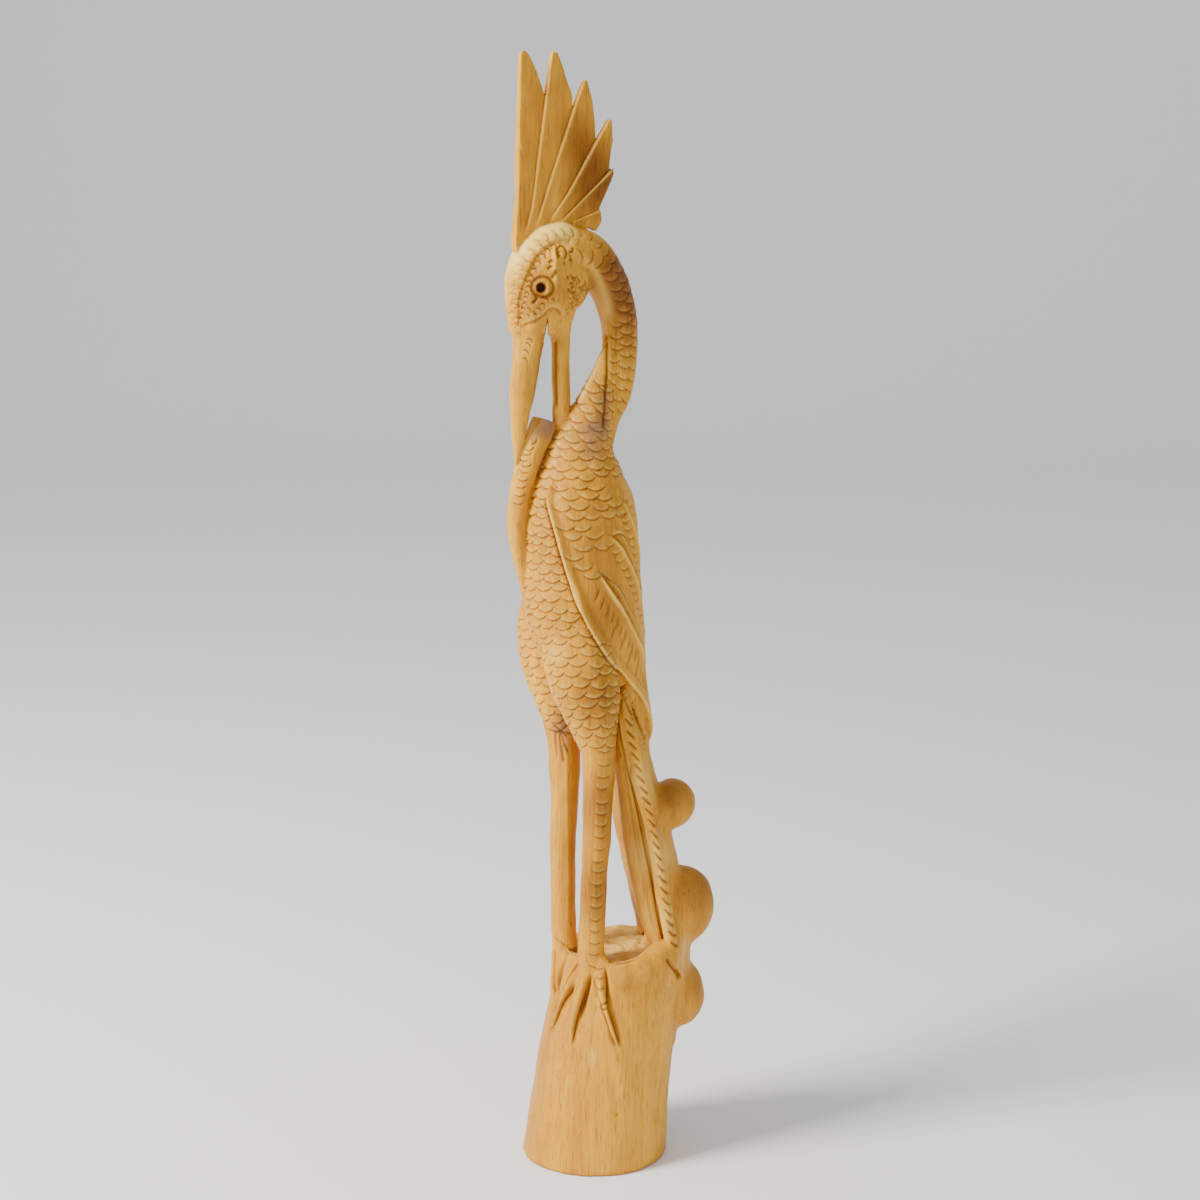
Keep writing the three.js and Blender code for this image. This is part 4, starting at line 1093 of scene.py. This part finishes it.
def carve_crown(relief, random):
    """Broad arcs that follow the crown from the bill's root over to the neck."""
    inner, outer = curve(FACE_BORDER[::-1]), curve(CROWN_OUTLINE)
    for side in HEAD_SIDES:
        for lane, share in enumerate(CROWN_LANES):
            places, heads = spaced(inner + share * (outer - inner), CROWN_PITCH, lane * CROWN_PITCH / 2)
            for place, (dx, dz) in zip(places, heads):
                x, z = place + random.normal(0, 0.3, 2)
                relief.bow(in_head(x, z), head_tip(math.degrees(math.atan2(dz, dx))), side, CROWN_WIDE,
                           ["head", "neck"], sag=0.24, deep=0.32, ramp=1.0, dark=0.75)


def carve_neck(relief, random):
    rows = curve([[x, z, half] for x, z, half, _ in NECK_ROWS[::-1]], 8)
    heads = unit(np.gradient(rows[:, :2], axis=0))
    outward = np.stack([-heads[:, 1], heads[:, 0]], 1)
    for lane, (share, top, bottom, wide) in enumerate(NECK_LANES):
        line = rows[:, :2] + share * rows[:, 2:3] * outward
        line = line[(line[:, 1] < top) & (line[:, 1] > bottom)]
        for (x, z), (dx, dz) in zip(*spaced(line, NECK_PITCH, lane % 2 * NECK_PITCH / 2)):
            deep, pale = (np.interp(z, NECK_FADE, pair) for pair in (NECK_DEPTHS, NECK_PALES))
            for side in HEAD_SIDES:
                turn = math.degrees(math.atan2(dz, dx)) + random.normal(0, 3)
                relief.bow(in_head(x, z), head_tip(turn), side, wide, ["neck", "head", "body"], sag=0.24,
                           deep=deep, pale=pale)
    relief.groove(head_line(NECK_BAND), 1.8, -0.6, ["neck", "head"], dark=0.8, taper=6)
    relief.groove(front_line(NECK_CREASE), 0.7, 1.2, ["neck", "body"], taper=3)
    relief.groove(front_line(BREAST_EDGE), 0.8, -0.4, ["body"], taper=4)
    relief.paint(front_line(BREAST_EDGE), 0.7, 0.9, ["body"])


def carve_eel(relief):
    for x, z, turn, wide in EEL_CUTS:
        tip = np.array([math.sin(math.radians(turn)), 0, -math.cos(math.radians(turn))])
        relief.bow(in_front(x, z), tip, FRONT, wide, ["eel"], sag=0.25, deep=0.6, ramp=0.9)
    relief.paint(front_line(EEL_FLANK), 1.1, 0.8, ["eel"])


def carve_crest(relief):
    for feather in CREST[1:]:
        edge = np.array(feather, float)[:, :2]
        edge = edge[edge[:, 1] > CREST_FOOT - 1]
        relief.groove(head_line(edge - [0.5, 0], 1), 0.3, 0.3, ["crest"], dark=0.7, taper=4)
        relief.groove(head_line(edge + [0.5, 0], 1), 0.4, -0.15, ["crest"], taper=4)


def cut_relief(relief):
    random = np.random.default_rng(SEED)
    carve_body(relief, random)
    carve_wing(relief, random, ["near_wing"], ["near_thigh"])
    carve_wing(relief, random, ["far_wing"], ["far_leg"], far=True)
    carve_legs(relief, random)
    carve_log(relief, random)
    carve_tail(relief, random)
    carve_face(relief, random)
    carve_bill(relief)
    carve_crown(relief, random)
    carve_neck(relief, random)
    carve_eel(relief)
    carve_crest(relief)
    # Real stains, and the tone with its painted shade and painted highlight.
    for values, spots in ((relief.stain, STAINS), (relief.tone, TONES_AND_SHADING)):
        for place, reach, amount in spots:
            relief.tint(values, np.array(place, float), reach, amount, ["crest"] if amount < 0 else [])


# Material
class Nodes:
    """A material's node tree, with short names for what the wood needs."""

    def __init__(self, name):
        self.material = bpy.data.materials.new(name)
        self.material.use_nodes = True
        self.tree = self.material.node_tree
        self.shader = self.tree.nodes["Principled BSDF"].inputs
        self.place = self.add("TexCoord", "Object")

    def put(self, socket, value):
        """Link a socket to another, or set it to a plain number, vector or colour."""
        if isinstance(value, bpy.types.NodeSocket):
            self.tree.links.new(value, socket)
        else:
            socket.default_value = (*value, 1) if socket.type == "RGBA" else value

    def add(self, kind, output, inputs=None, **settings):
        """A new node's output; its inputs are put in once it is set."""
        node = self.tree.nodes.new("ShaderNode" + kind)
        for key, value in settings.items():
            setattr(node, key, value)
        for key, value in (inputs or {}).items():
            self.put(node.inputs[key], value)
        return node.outputs[output]

    def noise(self, scale, stretch, detail=3, warp=0.0, offset=(0, 0, 0)):
        vector = self.add("Mapping", "Vector", {"Vector": self.place, "Scale": stretch, "Location": offset})
        return self.add("TexNoise", "Fac", {"Vector": vector, "Scale": scale, "Detail": detail,
                                            "Distortion": warp})

    def ramp(self, value, *stops):
        """A smooth curve of grey or colour over a value."""
        output = self.add("ValToRGB", "Color", {"Fac": value})
        elements = output.node.color_ramp.elements
        while len(elements) < len(stops):
            elements.new(0.5)
        for element, (where, colour) in zip(elements, stops):
            element.position = where
            element.color = (*(colour if isinstance(colour, tuple) else (colour,) * 3), 1)
        return output

    def mix(self, kind, share, first, second):
        return self.add("Mix", "Result", {"Factor": share, "A": first, "B": second}, data_type="RGBA",
                        blend_type=kind)

    def sum(self, kind, first, second):
        return self.add("Math", "Value", {0: first, 1: second}, operation=kind)

    def attribute(self, name):
        return self.add("Attribute", "Fac", attribute_name=name)


# Colours of the wood, of its painted shade and of its painted highlights, as linear light
HONEY = (0.62, 0.27, 0.012)
GOLD = (0.74, 0.345, 0.015)
STRAW = (0.86, 0.435, 0.024)
AMBER = (0.48, 0.175, 0.01)
# The colour of painted highlights on edges.
HIGHLIGHT_PALE = (0.94, 0.57, 0.085)
# Paler tone and painted highlight.
CREAM = (1.0, 0.765, 0.2)
UMBER = (0.26, 0.105, 0.02)
# The colour multiplied in as painted shade in cuts and hollows.
GROOVE_SHADE = (0.42, 0.30, 0.25)
STAINED = (0.27, 0.14, 0.085)
# Darker tone and painted shade.
DARKER = (0.36, 0.25, 0.23)
BAND_SHADE = (0.80, 0.72, 0.62)
GRAIN_SHADE = (0.76, 0.68, 0.6)
WHITE = (1.0, 1.0, 1.0)


def wood_material():
    """Waxed pale wood: long soft streaks, fine pores along the trunk, stains, tone with painted shade and
    highlight, painted shade in its cuts and painted highlights on its edges.
    """
    wood = Nodes("pale_wood")
    broad = wood.noise(26, (1, 1, 0.35), detail=2)
    patch = wood.noise(60, (1, 1, 0.5), detail=4, warp=0.6, offset=(3, 1, 0))
    band = wood.noise(150, (1, 1, 0.06), warp=0.8)
    grain = wood.noise(900, (1, 1, 0.05))
    pores = wood.noise(1300, (1, 1, 0.09), detail=1, offset=(0, 5, 2))
    blots = wood.noise(240, (1, 1, 0.6), detail=4, warp=0.5)
    pore = wood.ramp(pores, (0.31, 1.0), (0.41, 0.0))
    blot = wood.ramp(blots, (0.35, 0.45), (0.6, 1.0))
    colour = wood.ramp(broad, (0.34, HONEY), (0.5, GOLD), (0.66, STRAW))
    patches = wood.sum("MULTIPLY", wood.ramp(patch, (0.52, 0.0), (0.74, 1.0)), 0.45)
    colour = wood.mix("MIX", patches, colour, AMBER)
    colour = wood.mix("MULTIPLY", 0.55, colour, wood.ramp(band, (0.38, BAND_SHADE), (0.6, WHITE)))
    colour = wood.mix("MULTIPLY", 0.5, colour, wood.ramp(grain, (0.36, GRAIN_SHADE), (0.6, WHITE)))
    colour = wood.mix("MIX", wood.sum("MULTIPLY", pore, 0.45), colour, UMBER)
    # Darker tone and painted shade.
    colour = wood.mix("MULTIPLY", wood.attribute("dark"), colour, DARKER)
    # Paler tone, painted highlight along lines and paler chips.
    colour = wood.mix("MIX", wood.sum("MULTIPLY", wood.attribute("pale"), 0.75), colour, CREAM)
    # Painted highlight on lit edges, lips and ridges.
    colour = wood.mix("MIX", wood.sum("MULTIPLY", wood.attribute("edge_highlight"), 0.62), colour, HIGHLIGHT_PALE)
    colour = wood.mix("MIX", wood.sum("MULTIPLY", wood.attribute("stain"), blot), colour, STAINED)
    # Painted shade in cuts, pits and hollows.
    colour = wood.mix("MULTIPLY", wood.attribute("hollow"), colour, GROOVE_SHADE)
    rough = wood.sum("SUBTRACT", grain, wood.sum("MULTIPLY", pore, 0.8))
    bump = wood.add("Bump", "Normal", {"Strength": 0.35, "Distance": 0.00025, "Height": rough})
    wood.put(wood.shader["Base Color"], colour)
    wood.put(wood.shader["Roughness"], wood.ramp(band, (0.35, 0.55), (0.65, 0.43)))
    wood.put(wood.shader["Specular IOR Level"], 0.22)
    wood.put(wood.shader["Normal"], bump)
    return wood.material


# The one piece
def tool_marks(points, random):
    """Shallow unevenness that a knife and sandpaper leave, in millimetres."""
    height = np.zeros(len(points))
    for wave, size in MARKS:
        for _ in range(MARK_WAVES):
            way = unit(random.normal(0, 1, 3) * MARK_SPREAD)
            swell = np.sin(points @ way * 2 * math.pi / wave + random.uniform(0, 2 * math.pi))
            height += size * swell / MARK_WAVES
    return height


def carve():
    """The finished surface in millimetres, and what its points are like."""
    field = build_field()
    points, quads = field.surface()
    points = relaxed(points, quads, 2)
    names = list(field.kept)
    labels = np.stack([field.near(name, points) for name in names]).argmin(0)
    normals = vertex_normals(points, quads)
    if ((points - points.mean(0)) * normals).sum() < 0:
        quads = quads[:, ::-1]
        normals = -normals
    relief = Relief(points, normals, labels, names)
    cut_relief(relief)
    relief.height += tool_marks(points, np.random.default_rng(SEED + 1))
    points = points + normals * relief.height[:, None]
    points = np.clip(points, *(np.array(corner) / MM for corner in CAD_BOX))
    # Painted shade where a point is sunk below its smoothed neighbours, and along the cuts.
    sunk = ((relaxed(points, quads, CAVITY_ROUNDS) - points) * vertex_normals(points, quads)).sum(1)
    hollow = np.clip(np.maximum(relief.hollow, sunk / CAVITY_DEEP), 0, 1)
    return points, quads, {
        "hollow": hollow,
        # Painted highlight from the cuts, and paler on convex edges, kept out of the painted shade.
        "edge_highlight": np.clip(relief.edge_highlight * HIGHLIGHT_SHARE - sunk / EDGE_PROUD, 0, 1) * (1 - hollow),
        "stain": np.clip(relief.stain, 0, 1),
        # Darker tone and painted shade, then paler tone with painted highlight along lines.
        "dark": np.clip(relief.tone, 0, DARKEST) / DARKEST,
        "pale": np.clip(np.maximum(-relief.tone, 0) + relief.light, 0, 1),
    }


def mesh_piece(name, points, quads, attributes):
    mesh = bpy.data.meshes.new(name)
    mesh.vertices.add(len(points))
    mesh.vertices.foreach_set("co", points.astype(np.float32).ravel())
    mesh.loops.add(quads.size)
    mesh.loops.foreach_set("vertex_index", quads.astype(np.int32).ravel())
    mesh.polygons.add(len(quads))
    mesh.polygons.foreach_set("loop_start", np.arange(0, quads.size, 4, dtype=np.int32))
    for key, values in attributes.items():
        layer = mesh.attributes.new(key, "FLOAT", "POINT")
        layer.data.foreach_set("value", values.astype(np.float32))
    mesh.update(calc_edges=True)
    return shown(name, mesh)


def shown(name, data):
    """A new object of the data, in the scene."""
    thing = bpy.data.objects.new(name, data)
    bpy.context.scene.collection.objects.link(thing)
    return thing


def thinned(piece, most):
    """The piece with its mesh brought under a number of triangles, and kept in the solid's box."""
    modifier = piece.modifiers.new("thin", "DECIMATE")
    modifier.ratio = most / (2 * len(piece.data.polygons))
    view = bpy.context.evaluated_depsgraph_get()
    mesh = bpy.data.meshes.new_from_object(piece.evaluated_get(view))
    piece.modifiers.clear()
    piece.data = mesh
    place = np.empty(3 * len(mesh.vertices), np.float32)
    mesh.vertices.foreach_get("co", place)
    mesh.vertices.foreach_set("co", np.clip(place.reshape(-1, 3), *CAD_BOX).astype(np.float32).ravel())
    mesh.shade_smooth()
    return piece


def make_heron():
    points, quads, attributes = carve()
    piece = thinned(mesh_piece("heron", points * MM, quads, attributes), MOST_TRIANGLES)
    piece.data.materials.append(wood_material())
    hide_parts("carved_heron")
    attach(piece, "root")


# Camera, floor and lights, in metres
FLOOR_NEAR, FLOOR_FAR, FLOOR_WIDE = 3, 2.2, 5
SWEEP, WALL_TALL = 1.2, 4
LENS = 68.9055
SENSOR = 36
CAMERA_PLACE = (0.002859, -1.02, 0.475)
CAMERA_DOWN = 11.5737
FLOOR_COLOUR, FLOOR_ROUGH = (0.94, 0.94, 0.94), 0.8
LIT_PLACE = (0, 0, 0.25)
# A light is its name, place, size, power in watts and colour.
LIGHTS = [("key", (-1.1, -0.55, 1.15), 0.5, 47, (1, 0.97, 0.92)),
          ("fill", (1.3, -1.2, 0.8), 1.4, 2, (0.95, 0.97, 1))]
SKY_COLOUR, SKY_STRENGTH = (0.97, 0.98, 1, 1), 0.66


def add_camera():
    camera = bpy.data.cameras.new("camera")
    camera.lens = LENS
    camera.sensor_width = SENSOR
    holder = shown("camera", camera)
    holder.location = CAMERA_PLACE
    holder.rotation_euler = (math.radians(90 - CAMERA_DOWN), 0, 0)
    bpy.context.scene.camera = holder


def add_floor():
    """A pale floor that curves up into a wall behind."""
    profile = [(-FLOOR_NEAR, 0), (FLOOR_FAR, 0)]
    for angle in np.linspace(0, math.pi / 2, 17)[1:]:
        profile.append((FLOOR_FAR + SWEEP * math.sin(angle), SWEEP * (1 - math.cos(angle))))
    profile.append((FLOOR_FAR + SWEEP, SWEEP + WALL_TALL))
    points = [(x, y, z) for y, z in profile for x in (-FLOOR_WIDE, FLOOR_WIDE)]
    faces = [(2 * k, 2 * k + 1, 2 * k + 3, 2 * k + 2) for k in range(len(profile) - 1)]
    mesh = bpy.data.meshes.new("floor")
    mesh.from_pydata(points, [], faces)
    mesh.shade_smooth()
    paint = Nodes("floor")
    paint.put(paint.shader["Base Color"], FLOOR_COLOUR)
    paint.put(paint.shader["Roughness"], FLOOR_ROUGH)
    mesh.materials.append(paint.material)
    shown("floor", mesh)


def add_light(name, place, size, power, colour):
    """A soft square light that faces the middle of the carving."""
    lamp = bpy.data.lights.new(name, "AREA")
    lamp.size = size
    lamp.energy = power
    lamp.color = colour
    holder = shown(name, lamp)
    holder.location = place
    holder.rotation_euler = (Vector(LIT_PLACE) - Vector(place)).to_track_quat("-Z", "Y").to_euler()


def add_world():
    world = bpy.data.worlds.new("studio")
    world.use_nodes = True
    background = world.node_tree.nodes["Background"].inputs
    background["Color"].default_value = SKY_COLOUR
    background["Strength"].default_value = SKY_STRENGTH
    bpy.context.scene.world = world


add_camera()
make_heron()
add_floor()
for light in LIGHTS:
    add_light(*light)
add_world()
